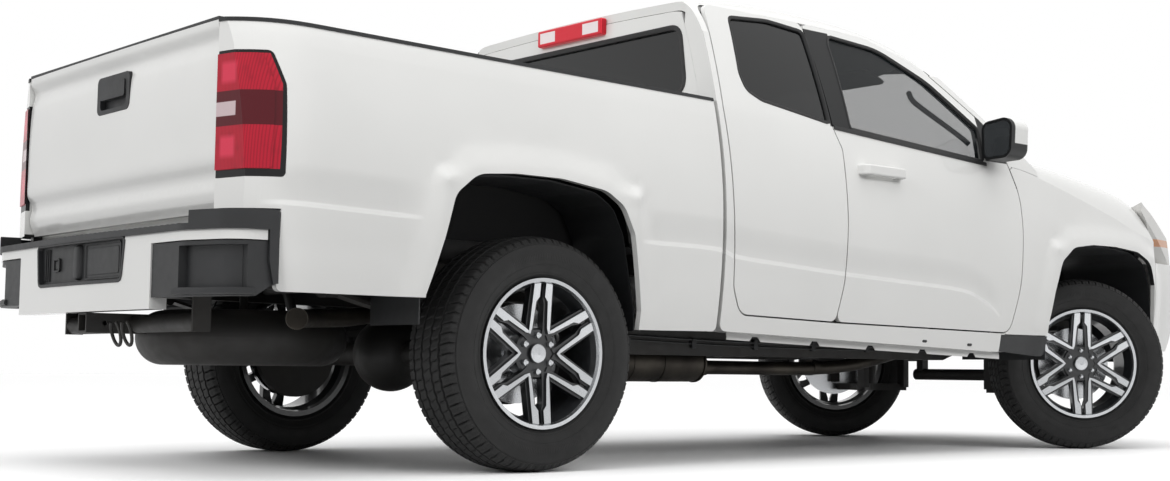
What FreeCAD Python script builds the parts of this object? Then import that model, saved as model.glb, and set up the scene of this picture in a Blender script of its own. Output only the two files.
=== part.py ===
import FreeCAD, Part
import math
import os
from FreeCAD import Placement, Rotation, Vector

# Extended-cab pickup truck, in millimetres
# +X points forward, +Y to the left, +Z up, and the tyres stand on Z = 0.
# X = 0 is halfway between the two bumpers, Y = 0 is the middle of the truck.

DRIVING_SIZES = [
    # Overall plan
    ("overall_length", 5403),
    ("wheelbase", 3259),
    ("rear_axle_x", -1492.5),
    ("wheel_centre_height", 387),
    ("wheel_plane_y", 793.5),
    # Body side, given as half widths and heights
    ("body_half_width", 926),
    ("waist_height", 880),
    ("side_foot_height", 470),
    ("side_tuck_under", 38),
    ("belt_height", 1300),
    ("side_tuck_at_belt", 50),
    ("flare_height", 17),
    ("flare_reach", 110),
    ("nose_ease_start", 1950),
    ("nose_ease", 60),
    ("tail_ease_start", -2300),
    ("tail_ease", 82),
    # Cab
    ("cab_back_x", -676),
    ("cab_side_front_x", 1290),
    ("cab_side_depth", 88),
    ("cab_floor_height", 560),
    ("cab_floor_thickness", 40),
    ("roof_height", 1790),
    ("roof_thickness", 34),
    ("roof_half_width", 664),
    ("roof_rear_x", -640),
    ("firewall_x", 1190),
    ("firewall_thickness", 30),
    # Doors
    ("door_gap", 6),
    ("door_skin", 20),
    ("door_depth", 76),
    ("door_frame_depth", 44),
    ("door_inner_setback", 16),
    ("glass_thickness", 5),
    # Load box
    ("box_front_x", -694),
    ("box_rear_x", -2545),
    ("box_floor_height", 806),
    ("box_floor_thickness", 36),
    ("box_floor_rear_x", -2512),
    ("box_wall_y", 735),
    ("box_wall_thickness", 22),
    ("box_skin", 24),
    ("rail_drop_front", 1318),
    ("rail_drop_rear", 1352),
    ("rail_cap_thickness", 12),
    ("wheelhouse_inner_y", 560),
    ("wheelhouse_height", 1035),
    ("wheelhouse_half_length", 500),
    # Tailgate
    ("tailgate_half_width", 714),
    ("tailgate_bottom", 792),
    ("tailgate_top", 1360),
    ("tailgate_inner_x", -2530),
    ("tailgate_outer_x", -2590),
    ("tailgate_hinge_x", -2546),
    ("tailgate_hinge_height", 808),
    # Hood and nose
    ("hood_thickness", 26),
    ("hood_hinge_x", 1320),
    ("hood_hinge_height", 1244),
    # Wheels
    ("tyre_radius", 387),
    ("tyre_width", 265),
    ("rim_radius", 247),
    ("rim_lip_y", 909.8),
    ("hub_bolt_circle", 120),
    # Frame
    ("rail_width", 70),
    ("rail_wall", 5),
    ("rail_rear_outer_y", 520),
    ("rail_front_outer_y", 428),
    ("rail_bottom_height", 440),
    # Hitch
    ("receiver_inside", 51),
    ("receiver_wall", 6.5),
    ("receiver_height", 470),
    ("receiver_length", 205),
    ("pin_hole_diameter", 16),
    # Steering
    ("kingpin_y", 735),
]

doc = FreeCAD.newDocument("pickup_truck")
sheet = doc.addObject("Spreadsheet::Sheet", "sizes")
for row, (alias, value) in enumerate(DRIVING_SIZES, start=1):
    sheet.set("A%d" % row, alias)
    sheet.set("B%d" % row, str(value))
    sheet.setAlias("B%d" % row, alias)
doc.recompute()


def size(alias):
    """A driving size, read back from the sheet."""
    return float(getattr(sheet, alias))


front_axle_x = size("rear_axle_x") + size("wheelbase")
rear_axle_x = size("rear_axle_x")
hub_z = size("wheel_centre_height")
half_length = size("overall_length") / 2

# Document objects that become one file each, in the order they are made
nodes = []

X_AXIS = Vector(1, 0, 0)
Y_AXIS = Vector(0, 1, 0)
Z_AXIS = Vector(0, 0, 1)
UPRIGHT_ALONG_X = Rotation(Y_AXIS, 90)
UPRIGHT_ALONG_Y = Rotation(X_AXIS, -90)


def keep(obj, label):
    """Name a document object as one sub-part."""
    obj.Label = label
    nodes.append(obj)
    return obj


def solid_feature(label, shape):
    """A sub-part whose shape comes from surface work."""
    obj = doc.addObject("Part::Feature", label)
    place = shape.Placement
    obj.Shape = shape
    obj.Placement = place
    return keep(obj, label)


def primitive(kind, name, at=(0, 0, 0), turn=Rotation(), **bound):
    """A Part primitive whose sizes are bound to the sheet by expressions."""
    obj = doc.addObject("Part::" + kind, name)
    for prop, expression in bound.items():
        obj.setExpression(prop, str(expression))
    obj.Placement = Placement(Vector(*at), turn)
    return obj


def boolean(kind, name, base, tool):
    """A Part cut, fuse or common of two document objects."""
    obj = doc.addObject("Part::" + kind, name)
    obj.Base = base
    obj.Tool = tool
    return obj


def fused(name, parts):
    obj = doc.addObject("Part::MultiFuse", name)
    obj.Shapes = parts
    return obj


def block(x0, x1, y0, y1, z0, z1):
    """A plain block between two corners."""
    return Part.makeBox(x1 - x0, y1 - y0, z1 - z0, Vector(x0, y0, z0))


def rod(start, end, radius):
    """A round bar between two points."""
    start, end = Vector(*start), Vector(*end)
    return Part.makeCylinder(radius, (end - start).Length, start, end - start)


def tube_path(points, radius, bend):
    """A round tube along straight runs joined by tangent arcs."""
    corners = [Vector(*p) for p in points]
    edges = []
    last = corners[0]
    for before, corner, after in zip(corners, corners[1:], corners[2:]):
        into = (corner - before).normalize()
        out = (after - corner).normalize()
        half_turn = into.getAngle(out) / 2
        setback = bend * math.tan(half_turn)
        arc_start = corner - into * setback
        arc_end = corner + out * setback
        middle_dir = (out - into).normalize()
        arc_middle = corner + middle_dir * (bend / math.cos(half_turn) - bend)
        edges.append(Part.LineSegment(last, arc_start).toShape())
        edges.append(Part.Arc(arc_start, arc_middle, arc_end).toShape())
        last = arc_end
    edges.append(Part.LineSegment(last, corners[-1]).toShape())
    path = Part.Wire(edges)
    start_dir = corners[1] - corners[0]
    profile = Part.Wire(Part.Circle(corners[0], start_dir, radius).toShape())
    return path.makePipeShell([profile], True, True)


def rounded_wire(corners, place):
    """A closed wire with a radius at each corner, given as (a, b, radius).

    place turns the two outline coordinates into a point in space."""
    count = len(corners)
    joints = []
    for index in range(count):
        a, b, radius = corners[index]
        here = Vector(a, b, 0)
        before = Vector(corners[index - 1][0], corners[index - 1][1], 0)
        after = Vector(corners[(index + 1) % count][0], corners[(index + 1) % count][1], 0)
        into = (here - before).normalize()
        out = (after - here).normalize()
        half_turn = into.getAngle(out) / 2
        if radius <= 0 or half_turn < 0.01:
            joints.append((here, None, here))
            continue
        setback = radius * math.tan(half_turn)
        room = 0.49 * min((here - before).Length, (after - here).Length)
        if setback > room:
            setback = room
            radius = setback / math.tan(half_turn)
        middle_dir = (out - into).normalize()
        middle = here + middle_dir * (radius / math.cos(half_turn) - radius)
        joints.append((here - into * setback, middle, here + out * setback))
    edges = []
    for index in range(count):
        start, middle, end = [None if p is None else place(p.x, p.y) for p in joints[index]]
        following = place(joints[(index + 1) % count][0].x, joints[(index + 1) % count][0].y)
        if middle is not None:
            edges.append(Part.Arc(start, middle, end).toShape())
        if (following - end).Length > 0.001:
            edges.append(Part.LineSegment(end, following).toShape())
    return Part.Wire(edges)


def inset(corners, distance):
    """The same outline moved inward by a distance (outward when negative).

    The corners run anticlockwise in (a, b)."""
    count = len(corners)
    moved = []
    for index in range(count):
        here = Vector(corners[index][0], corners[index][1], 0)
        before = Vector(corners[index - 1][0], corners[index - 1][1], 0)
        after = Vector(corners[(index + 1) % count][0], corners[(index + 1) % count][1], 0)
        into = (here - before).normalize()
        out = (after - here).normalize()
        normal_in = Vector(-into.y, into.x, 0)
        normal_out = Vector(-out.y, out.x, 0)
        bisector = (normal_in + normal_out).normalize()
        reach = distance / max(0.3, bisector.dot(normal_in))
        point = here + bisector * reach
        moved.append((point.x, point.y, max(0, corners[index][2] - distance)))
    return moved


def side_prism(corners):
    """A prism of a side outline, through the right half of the truck."""
    wire = rounded_wire(corners, lambda x, z: Vector(x, -1200, z))
    return Part.Face(wire).extrude(Vector(0, 1150, 0))


def plan_prism(corners, low=-100, high=2200):
    """A prism of a plan outline, upright through the truck."""
    wire = rounded_wire(corners, lambda x, y: Vector(x, y, low))
    return Part.Face(wire).extrude(Vector(0, 0, high - low))


def rear_prism(corners, x0, x1):
    """A prism of an outline seen from behind, between two stations."""
    wire = rounded_wire(corners, lambda y, z: Vector(x0, y, z))
    return Part.Face(wire).extrude(Vector(x1 - x0, 0, 0))


def left_copy(shape):
    """The left-hand twin of a right-hand shape."""
    return shape.mirror(Vector(0, 0, 0), Vector(0, 1, 0))


def spread(low, high, step):
    """Evenly spaced stations from low to high, about one step apart."""
    count = max(3, int(round((high - low) / step)))
    return [low + (high - low) * index / count for index in range(count + 1)]


def surface(point_at, first, second):
    """A smooth face through the points of a grid."""
    grid = [[point_at(a, b) for b in second] for a in first]
    sheet_surface = Part.BSplineSurface()
    sheet_surface.interpolate(grid)
    return sheet_surface.toShape()


# Wheel arch outlines, as (x from the axle, height, corner radius)
REAR_ARCH = [(415, 380, 0), (415, 538, 0), (362, 800, 60), (315, 890, 90), (235, 938, 120),
             (40, 963, 300), (-150, 963, 300), (-300, 950, 110), (-385, 880, 80), (-420, 740, 60),
             (-475, 560, 0), (-475, 380, 0)]
FRONT_ARCH = [(430, 380, 0), (430, 560, 0), (418, 760, 80), (370, 868, 90), (250, 912, 120),
              (60, 926, 300), (-120, 924, 300), (-270, 905, 110), (-365, 835, 90), (-410, 700, 80),
              (-440, 560, 0), (-440, 380, 0)]


def arch_corners(arch, axle_x):
    return [(axle_x + x, z, radius) for x, z, radius in arch]


def distance_to_arch(x, z, corners):
    """How far a point lies outside an arch opening, 0 inside it."""
    nearest = 1e9
    for (ax, az, _), (bx, bz, _) in zip(corners, corners[1:]):
        dx, dz = bx - ax, bz - az
        along = ((x - ax) * dx + (z - az) * dz) / (dx * dx + dz * dz)
        along = min(1, max(0, along))
        nearest = min(nearest, math.hypot(x - ax - along * dx, z - az - along * dz))
    low_x, high_x = corners[-1][0], corners[0][0]
    top = max(z_corner for _, z_corner, _ in corners)
    inside = low_x + 20 < x < high_x - 20 and z < top - 20
    return 0 if inside and nearest < 200 else nearest


rear_arch = arch_corners(REAR_ARCH, rear_axle_x)
front_arch = arch_corners(FRONT_ARCH, front_axle_x)


def flare(x, z):
    """How far the body side swells out round the two wheel arches."""
    swell = 0
    for corners in (rear_arch, front_arch):
        if not corners[-1][0] - 150 < x < corners[0][0] + 150:
            continue
        near = distance_to_arch(x, z, corners) / size("flare_reach")
        if near < 1:
            swell = max(swell, (1 - near * near) ** 2)
    return size("flare_height") * swell


BODY_HALF_WIDTH = size("body_half_width")
WAIST = size("waist_height")
FOOT = size("side_foot_height")
TUCK_UNDER = size("side_tuck_under")
BELT = size("belt_height")
TUCK_AT_BELT = size("side_tuck_at_belt")
NOSE_START = size("nose_ease_start")
TAIL_START = size("tail_ease_start")
PILLAR_LEAN = 0.30
PILLAR_CURVE = 0.000186
NOSE_EASE_LENGTH = 500
TAIL_EASE_LENGTH = 252


def half_width(x, z):
    """Half width of the body at a station and height."""
    width = BODY_HALF_WIDTH
    if z < WAIST:
        width -= TUCK_UNDER * ((WAIST - z) / (WAIST - FOOT)) ** 2
    else:
        rise = min(z, BELT) - WAIST
        width -= TUCK_AT_BELT * (rise / (BELT - WAIST)) ** 2
    if z > BELT:
        above = z - BELT
        width -= PILLAR_LEAN * above + PILLAR_CURVE * above * above
    if x > NOSE_START:
        width -= size("nose_ease") * ((x - NOSE_START) / NOSE_EASE_LENGTH) ** 2
    if x < TAIL_START:
        width -= size("tail_ease") * ((TAIL_START - x) / TAIL_EASE_LENGTH) ** 3
    return width + flare(x, z)


def side_slab(x0, x1, z0, z1, depth, step_x=45, step_z=40, lift=0):
    """The right body side between two stations, a given depth thick."""
    face = surface(lambda x, z: Vector(x, -half_width(x, z) + lift, z),
                   spread(x0, x1, step_x), spread(z0, z1, step_z))
    return face.extrude(Vector(0, depth, 0))


# Roof line along the middle of the cab, as (x, height)
ROOF_LINE = [(-680, 1734), (-628, 1752), (-500, 1772), (-300, 1786), (0, 1790), (250, 1783),
             (450, 1762), (620, 1729), (800, 1680)]
ROOF_CROWN = 14
ROOF_EDGE_START = 610
ROOF_EDGE_DROP = 52
HOOD_LINE = [(1040, 1310), (1330, 1308), (1600, 1294), (1850, 1264), (2050, 1230), (2250, 1184),
             (2430, 1132), (2560, 1084), (2650, 1045)]
SHOULDER_LINE = [(1040, 1292), (1200, 1284), (1500, 1252), (1800, 1214), (2000, 1178), (2110, 1140),
                 (2210, 1086), (2330, 1010), (2650, 830)]
SHOULDER_Y = 870
SHOULDER_ROLL_START = 832
SHOULDER_ROLL = 34


def along(line, x):
    """Height of a smooth line through a few stations."""
    if x <= line[0][0]:
        return line[0][1]
    for index in range(len(line) - 1):
        (x0, z0), (x1, z1) = line[index], line[index + 1]
        if x <= x1:
            before = line[max(0, index - 1)]
            after = line[min(len(line) - 1, index + 2)]
            slope0 = (z1 - before[1]) / (x1 - before[0])
            slope1 = (after[1] - z0) / (after[0] - x0)
            t = (x - x0) / (x1 - x0)
            span = x1 - x0
            return ((2 * t ** 3 - 3 * t ** 2 + 1) * z0 + (t ** 3 - 2 * t ** 2 + t) * span * slope0
                    + (3 * t ** 2 - 2 * t ** 3) * z1 + (t ** 3 - t ** 2) * span * slope1)
    return line[-1][1]


def roof_top(x, y):
    """Height of the roof's outer face."""
    lift = size("roof_height") - 1790
    z = along(ROOF_LINE, x) + lift - ROOF_CROWN * (y / 650) ** 2
    over = max(0, abs(y) - ROOF_EDGE_START)
    return z - ROOF_EDGE_DROP * (over / 100) ** 2


def hood_top(x, y):
    """Height of the outer face of the hood and fender tops."""
    middle = along(HOOD_LINE, x)
    shoulder = along(SHOULDER_LINE, x)
    z = middle + (shoulder - middle) * (abs(y) / SHOULDER_Y) ** 2.6
    over = max(0, abs(y) - SHOULDER_ROLL_START)
    return z - SHOULDER_ROLL * (over / 45) ** 2


def top_slab(top, x0, x1, y0, y1, thickness, step=55):
    """A curved panel under one of the top surfaces."""
    face = surface(lambda x, y: Vector(x, y, top(x, y)), spread(x0, x1, step), spread(y0, y1, step))
    return face.extrude(Vector(0, 0, -thickness))


# Door outlines on the right side, anticlockwise in (x, height) with corner radii
FRONT_DOOR = [(-55, 530, 30), (1064, 514, 60), (1120, 720, 500), (1131, 960, 500), (1124, 1110, 300),
              (1072, 1235, 80), (985, 1398, 250), (600, 1645, 500), (310, 1719, 400), (-60, 1722, 30),
              (-50, 1289, 60), (-12, 1205, 60), (-10, 900, 900), (-22, 680, 300)]
REAR_DOOR = [(-580, 544, 60), (-61, 530, 30), (-28, 680, 300), (-16, 900, 900), (-18, 1205, 60),
             (-56, 1289, 60), (-66, 1722, 30), (-606, 1719, 40), (-646, 1300, 200), (-636, 960, 500),
             (-624, 640, 100)]
FRONT_WINDOW = [(52, 1292, 20), (902, 1240, 14), (922, 1386, 24), (646, 1569, 500),
                (376, 1676, 400), (82, 1694, 30), (62, 1653, 30)]
REAR_WINDOW = [(-430, 1352, 60), (-62, 1300, 20), (-64, 1690, 30), (-268, 1706, 400), (-488, 1686, 30),
               (-520, 1450, 80), (-505, 1385, 60)]
DOOR_ZONE = (-690, 1180, 440, 1745)


x0, x1, z0, z1 = DOOR_ZONE
door_belt = size("belt_height") - 40
skin_slab = side_slab(x0, x1, z0, z1, size("door_skin"))
half_skin = size("door_skin") / 2
lower_slab = side_slab(x0, x1, z0, door_belt + 20, size("door_depth") - half_skin, lift=half_skin)
lower_slab = lower_slab.common(block(x0, x1, -1200, 0, z0, door_belt))
frame_slab = side_slab(x0, x1, door_belt - 60, z1, size("door_frame_depth") - half_skin, lift=half_skin)
pane_slab = side_slab(x0, x1, door_belt - 60, z1, size("glass_thickness"), lift=half_skin)


def door_shell(outline, window):
    """A right-hand door: skin, thick lower box and window frame, with its window cut."""
    inner_prism = side_prism(inset(outline, size("door_inner_setback")))
    skin = skin_slab.common(side_prism(outline))
    shell = skin.fuse([lower_slab.common(inner_prism), frame_slab.common(inner_prism)])
    return shell.cut(side_prism(window))


def door_glass(window):
    """The pane that fills a door window, set halfway into the skin."""
    return pane_slab.common(side_prism(window))


front_door = door_shell(FRONT_DOOR, FRONT_WINDOW)
rear_door = door_shell(REAR_DOOR, REAR_WINDOW)
front_glass = door_glass(FRONT_WINDOW)
rear_glass = door_glass(REAR_WINDOW)

# Door handles stand on the skin of the front doors
HANDLE_X = (62, 322)
HANDLE_Z = (1110, 1152)
HANDLE_REACH = 46
HANDLE_FOOT = 52
GRIP_DEPTH = 17


def handle_bar():
    """A pull handle: a grip that arches off the skin between two feet."""
    start, end = HANDLE_X
    y_skin = -half_width((start + end) / 2, sum(HANDLE_Z) / 2)
    y_grip = y_skin - HANDLE_REACH
    outer = [(start, y_skin + 6, 0), (start + 8, y_grip, 26), (end - 8, y_grip, 26), (end, y_skin + 6, 0)]
    room_start = start + HANDLE_FOOT
    room_end = end - HANDLE_FOOT
    finger_room = [(room_start, y_skin + 9, 0), (room_start, y_grip + GRIP_DEPTH, 12),
                   (room_end, y_grip + GRIP_DEPTH, 12), (room_end, y_skin + 9, 0)]
    grip = plan_prism(outer, *HANDLE_Z)
    front_edges = [edge for edge in grip.Edges
                   if abs(edge.BoundBox.ZLength) < 1 and edge.BoundBox.YMax < y_skin - 6]
    grip = grip.makeFillet(8, front_edges)
    return grip.cut(plan_prism(finger_room, HANDLE_Z[0] - 5, HANDLE_Z[1] + 5))


# Door mirror: a rounded head on an arm that stands on the corner of the front window
MIRROR_X = (864, 1000)
MIRROR_OUTLINE = [(-1056, 1244, 48), (-910, 1240, 34), (-905, 1402, 40), (-1066, 1420, 46)]
MIRROR_RIM = 12
MIRROR_GLASS_DEPTH = 10


def mirror_head():
    """The mirror housing with the recess for its glass, and its arm to the door."""
    head = rear_prism(MIRROR_OUTLINE, *MIRROR_X)
    head = head.makeFillet(30, [edge for edge in head.Edges if edge.BoundBox.XMin > MIRROR_X[1] - 1])
    glass_room = inset(MIRROR_OUTLINE, MIRROR_RIM)
    head = head.cut(rear_prism(glass_room, MIRROR_X[0] - 5, MIRROR_X[0] + MIRROR_GLASS_DEPTH))
    arm = block(920, 976, -950, -half_width(950, 1274) + 12, 1258, 1292)
    arm = arm.makeFillet(12, [edge for edge in arm.Edges if edge.BoundBox.YLength > 20])
    return head.fuse(arm)


mirror = mirror_head()
front_door_whole = front_door.fuse([handle_bar(), mirror])
mirror_pane = rear_prism(inset(MIRROR_OUTLINE, MIRROR_RIM + 0.3), MIRROR_X[0] + 3,
                         MIRROR_X[0] + MIRROR_GLASS_DEPTH - 0.3)

for side, twin in (("right", lambda shape: shape), ("left", left_copy)):
    solid_feature("door_front_%s_shell" % side, twin(front_door_whole))
    solid_feature("door_front_%s_glass" % side, twin(Part.makeCompound([front_glass, mirror_pane])))
    solid_feature("door_rear_%s_shell" % side, twin(rear_door))
    solid_feature("door_rear_%s_glass" % side, twin(rear_glass))

# Cab sides: sill, rear strip, cant rail and windscreen pillar round the two door openings
gap = size("door_gap")
BOTH_DOORS = [(-580, 544, 60), (-58, 530, 0), (1064, 514, 60), (1120, 720, 500), (1131, 960, 500),
              (1124, 1110, 300), (1072, 1235, 80), (985, 1398, 250), (600, 1645, 500), (310, 1719, 400),
              (-606, 1719, 40), (-646, 1300, 200), (-636, 960, 500), (-624, 640, 100)]
cab_back_x = size("cab_back_x")
cab_front_x = size("cab_side_front_x")
opening = side_prism(inset(BOTH_DOORS, -gap))
cab_outline = [(cab_back_x, 480, 30), (950, 430, 0), (cab_front_x, 430, 0), (cab_front_x, 1180, 0),
               (1280, 1262, 30), (1090, 1450, 200), (610, 1712, 400), (430, 1780, 0), (-636, 1780, 60),
               (cab_back_x, 1330, 100)]
side_lower = side_slab(cab_back_x, cab_front_x, 430, 1800, size("cab_side_depth"), 60, 45)
under_roof = top_slab(roof_top, -680, 800, -900, -560, 400)
roofed = side_lower.common(under_roof.fuse(block(cab_back_x, cab_front_x, -1000, 0, 0, 1600)))
cab_side = roofed.common(side_prism(cab_outline)).cut(opening)
roof_seat = block(cab_back_x - 5, 900, -size("roof_half_width"), 0, 1400, 1900)
cab_side = cab_side.cut(roof_seat)

# Ahead of the doors the fender is the outer skin, so the cab side steps inward behind it
FENDER_SKIN = 22
FENDER_FOOT = 506
SEAM = 3
FENDER_SEAT = [(1036, FENDER_FOOT - SEAM, 0), (1400, FENDER_FOOT - SEAM, 0), (1400, 1404.6, 0),
               (1036, 1198.3, 0)]
ROCKER_END = 1010
below_hood_line = top_slab(hood_top, 1000, 2330, -1000, -700, 950)
behind_fender_skin = side_slab(1000, 1420, 400, 1345, 300, 40, 36, lift=FENDER_SKIN + 8)
fender_room = side_prism(FENDER_SEAT).common(below_hood_line.translated(Vector(0, 0, SEAM)))
mud_guard_room = block(ROCKER_END, 1400, -1000, -700, 400, FENDER_FOOT - SEAM + 1)
cab_side = cab_side.cut(fender_room.fuse(mud_guard_room).cut(behind_fender_skin))

# Windscreen: one raked sheet, bowed in plan, from the cowl to the roof header
SCREEN_FOOT_X = 1400
SCREEN_FOOT_Z = 1290
SCREEN_RAKE = 1.62
SCREEN_BOW = 150
SCREEN_DEPTH = 10


def screen_x(y, z):
    """Station of the windscreen's outer face."""
    return SCREEN_FOOT_X - SCREEN_RAKE * (z - SCREEN_FOOT_Z) - SCREEN_BOW * (y / 780) ** 2


def screen_face(shift=0):
    return surface(lambda y, z: Vector(screen_x(y, z) + shift, y, z),
                   spread(-960, 960, 120), spread(1150, 1850, 100))


ahead_of_screen = screen_face(-SCREEN_DEPTH).extrude(Vector(1600, 0, 0))
SCREEN_OUTLINE = [(-800, 1292, 40), (0, 1300, 3000), (800, 1292, 40), (712, 1640, 60), (400, 1676, 500),
                  (0, 1686, 900), (-400, 1676, 500), (-712, 1640, 60)]
windscreen = screen_face().extrude(Vector(-SCREEN_DEPTH, 0, 0))
windscreen = windscreen.common(rear_prism(SCREEN_OUTLINE, 300, 1500))

cab_side = cab_side.cut(ahead_of_screen)
solid_feature("cab_sides", Part.makeCompound([cab_side, left_copy(cab_side)]))

# Roof panel between the two cant rails, from the rear header to the windscreen header
roof_y = size("roof_half_width") - 1
roof_panel = top_slab(roof_top, size("roof_rear_x"), 800, -roof_y, roof_y, size("roof_thickness"))
solid_feature("roof", roof_panel.cut(ahead_of_screen))


def inside_sides(depth_in, x0, x1, z0, z1, step=90):
    """The space between the two body sides, moved in by a depth."""
    right = side_slab(x0, x1, z0, z1, 1900, step, step, lift=depth_in)
    return right.common(left_copy(right))


# Cab back: one pressed panel with the rear window cut in it
cab_back_thickness = 30
back_space = inside_sides(size("cab_side_depth") + 0.5, cab_back_x, -600, 520, 1780)
under_roof_panel = top_slab(roof_top, -700, -560, -820, 820, size("roof_thickness") + 0.6)
BACK_TOP_LEAN = 34
back_outline = [(cab_back_x, 560, 0), (cab_back_x + cab_back_thickness, 560, 0),
                (cab_back_x + cab_back_thickness, 1330, 100),
                (cab_back_x + cab_back_thickness + BACK_TOP_LEAN, 1716, 0),
                (cab_back_x + BACK_TOP_LEAN, 1716, 0), (cab_back_x, 1330, 100)]
back_wire = rounded_wire(back_outline, lambda x, z: Vector(x, -900, z))
cab_back = Part.Face(back_wire).extrude(Vector(0, 1800, 0)).common(back_space)
BACK_WINDOW = [(-700, 1372, 60), (700, 1372, 60), (640, 1640, 70), (-640, 1640, 70)]
cab_back = cab_back.cut(rear_prism(BACK_WINDOW, -800, -500)).cut(under_roof_panel)
solid_feature("cab_back", cab_back)
glass_wire = rounded_wire([(x + 12 if index in (0, 3, 4, 5) else x - 12, z, r)
                           for index, (x, z, r) in enumerate(back_outline)],
                          lambda x, z: Vector(x, -900, z))
back_glass = Part.Face(glass_wire).extrude(Vector(0, 1800, 0))
back_glass = back_glass.common(rear_prism(BACK_WINDOW, -800, -500))
solid_feature("fixed_glass", Part.makeCompound([windscreen, back_glass]))

# Floor pan with its tunnel, and the firewall that closes the cab ahead of the feet
floor_z = size("cab_floor_height")
floor_y = BODY_HALF_WIDTH - size("cab_side_depth") - 40
firewall_x = size("firewall_x")
floor_pan = block(cab_back_x + cab_back_thickness + 1, firewall_x, -floor_y, floor_y, floor_z,
                  floor_z + size("cab_floor_thickness"))
TUNNEL_TOP = 230
tunnel = block(400, firewall_x, -150, 150, floor_z, floor_z + TUNNEL_TOP)
tunnel_void = block(415, firewall_x + 40, -137, 137, floor_z - 10, floor_z + TUNNEL_TOP - 13)
firewall = block(firewall_x, firewall_x + size("firewall_thickness"), -floor_y, floor_y, floor_z, 1226)
solid_feature("cab_floor", floor_pan.fuse([tunnel, firewall]).cut(tunnel_void))

# Cowl: the plenum under the windscreen's foot, with two wiper arms lying on it
cowl = block(firewall_x + 31, 1372, -760, 760, 1190, 1232)
cowl_front = surface(lambda y, z: Vector(1412 - 150 * (y / 780) ** 2, y, z), spread(-800, 800, 100),
                     spread(1150, 1300, 50)).extrude(Vector(-900, 0, 0))
cowl = cowl.common(cowl_front)
hinge_stands = []
for hand in (-1, 1):
    stand_y = sorted((hand * 702, hand * 716))
    stand = block(1262, size("hood_hinge_x") + 11, stand_y[0], stand_y[1],
                  1200, size("hood_hinge_height"))
    stand = stand.fuse(rod((size("hood_hinge_x"), stand_y[0], size("hood_hinge_height")),
                           (size("hood_hinge_x"), stand_y[1], size("hood_hinge_height")), 11))
    stand = stand.cut(rod((size("hood_hinge_x"), hand * 600, size("hood_hinge_height")),
                          (size("hood_hinge_x"), hand * 800, size("hood_hinge_height")), 7.3))
    hinge_stands.append(stand)
solid_feature("cowl", cowl.fuse(hinge_stands))

# Front fenders: side and top in one pressing, cut by the wheel arch
HOOD_SEAM_Y = 786


fender_outer = side_slab(1040, 2330, 500, 1330, 190, 40, 36).common(below_hood_line)
fender = fender_outer.cut(fender_outer.translated(Vector(0, FENDER_SKIN, -FENDER_SKIN)))
FENDER_OUTLINE = [(1040, FENDER_FOOT, 0), (2196, FENDER_FOOT, 0), (2196, 860, 0), (2212, 980, 30),
                  (2118, 1112, 20), (2150, 1330, 0), (1276.6, 1330, 0), (1040, 1196, 0)]
HOOD_SWEEP_X = 1281
FENDER_INNER_Y = 742
fender_plan = block(1000, 2400, -1200, -HOOD_SEAM_Y - 3, 400, 1400).fuse(
    block(1000, HOOD_SWEEP_X, -1200, -FENDER_INNER_Y, 400, 1400))
fender = fender.common(side_prism(FENDER_OUTLINE)).common(fender_plan)
fender = fender.cut(side_prism(front_arch)).cut(opening)
behind_screen = ahead_of_screen.translated(Vector(-1600 + SEAM, 0, 0))
inside_fender_skin = side_slab(1000, 1420, 1190, 1345, 300, 40, 36, lift=FENDER_SKIN + 2)
fender = fender.cut(behind_screen.common(inside_fender_skin))
solid_feature("front_fenders", Part.makeCompound([fender, left_copy(fender)]))

# Hood: one crowned panel that follows the windscreen's foot behind and the nose in front
hood_half = HOOD_SEAM_Y - 3
HOOD_OUTLINE = [(1300, -hood_half, 30), (2100, -hood_half, 200), (2300, -720, 200), (2470, -480, 300),
                (2562, -160, 500), (2562, 160, 500), (2470, 480, 300), (2300, 720, 200),
                (2100, hood_half, 200), (1300, hood_half, 30), (1400, 430, 500), (1440, 120, 500),
                (1440, -120, 500), (1400, -430, 500)]
hood = top_slab(hood_top, 1250, 2620, -820, 820, size("hood_thickness")).common(plan_prism(HOOD_OUTLINE))
HOOD_LUG_Y = 690
hood_pin_x = size("hood_hinge_x")
hood_pin_z = size("hood_hinge_height")
lug_top = hood_top(hood_pin_x, HOOD_LUG_Y) - size("hood_thickness") + 4
hood_lugs = []
for hand in (-1, 1):
    lug_y = sorted((hand * HOOD_LUG_Y, hand * (HOOD_LUG_Y + 10)))
    hood_lugs.append(block(hood_pin_x - 16, hood_pin_x + 16, lug_y[0], lug_y[1], hood_pin_z - 12, lug_top))
    hood_lugs.append(rod((hood_pin_x, hand * HOOD_LUG_Y, hood_pin_z),
                         (hood_pin_x, hand * (HOOD_LUG_Y + 30), hood_pin_z), 7))
solid_feature("hood", hood.fuse(hood_lugs))

# Nose: one curved envelope that the bumper, grille and headlamps are cut from
NOSE_LINE = [(440, 2640), (520, 2680), (620, 2701.5), (720, 2698), (800, 2684), (880, 2662), (980, 2640),
             (1060, 2610), (1120, 2570)]
NOSE_SWEEP = 268
NOSE_SWEEP_POWER = 2.7


def nose_x(y, z):
    """Station of the front face of the nose."""
    front = along(NOSE_LINE, z) + half_length - 2701.5
    return front - NOSE_SWEEP * (abs(y) / 900) ** NOSE_SWEEP_POWER


def nose_slab(z0, z1, depth, shift=0):
    face = surface(lambda y, z: Vector(nose_x(y, z) + shift, y, z), spread(-1000, 1000, 80),
                   spread(z0, z1, 40))
    return face.extrude(Vector(-depth, 0, 0))


def nose_space(z0, z1, shift):
    """The closed space of the nose, moved in by a wall."""
    return nose_slab(z0, z1, 700, -shift).common(inside_sides(shift, 1990, 2660, z0, z1, 60))


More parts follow.
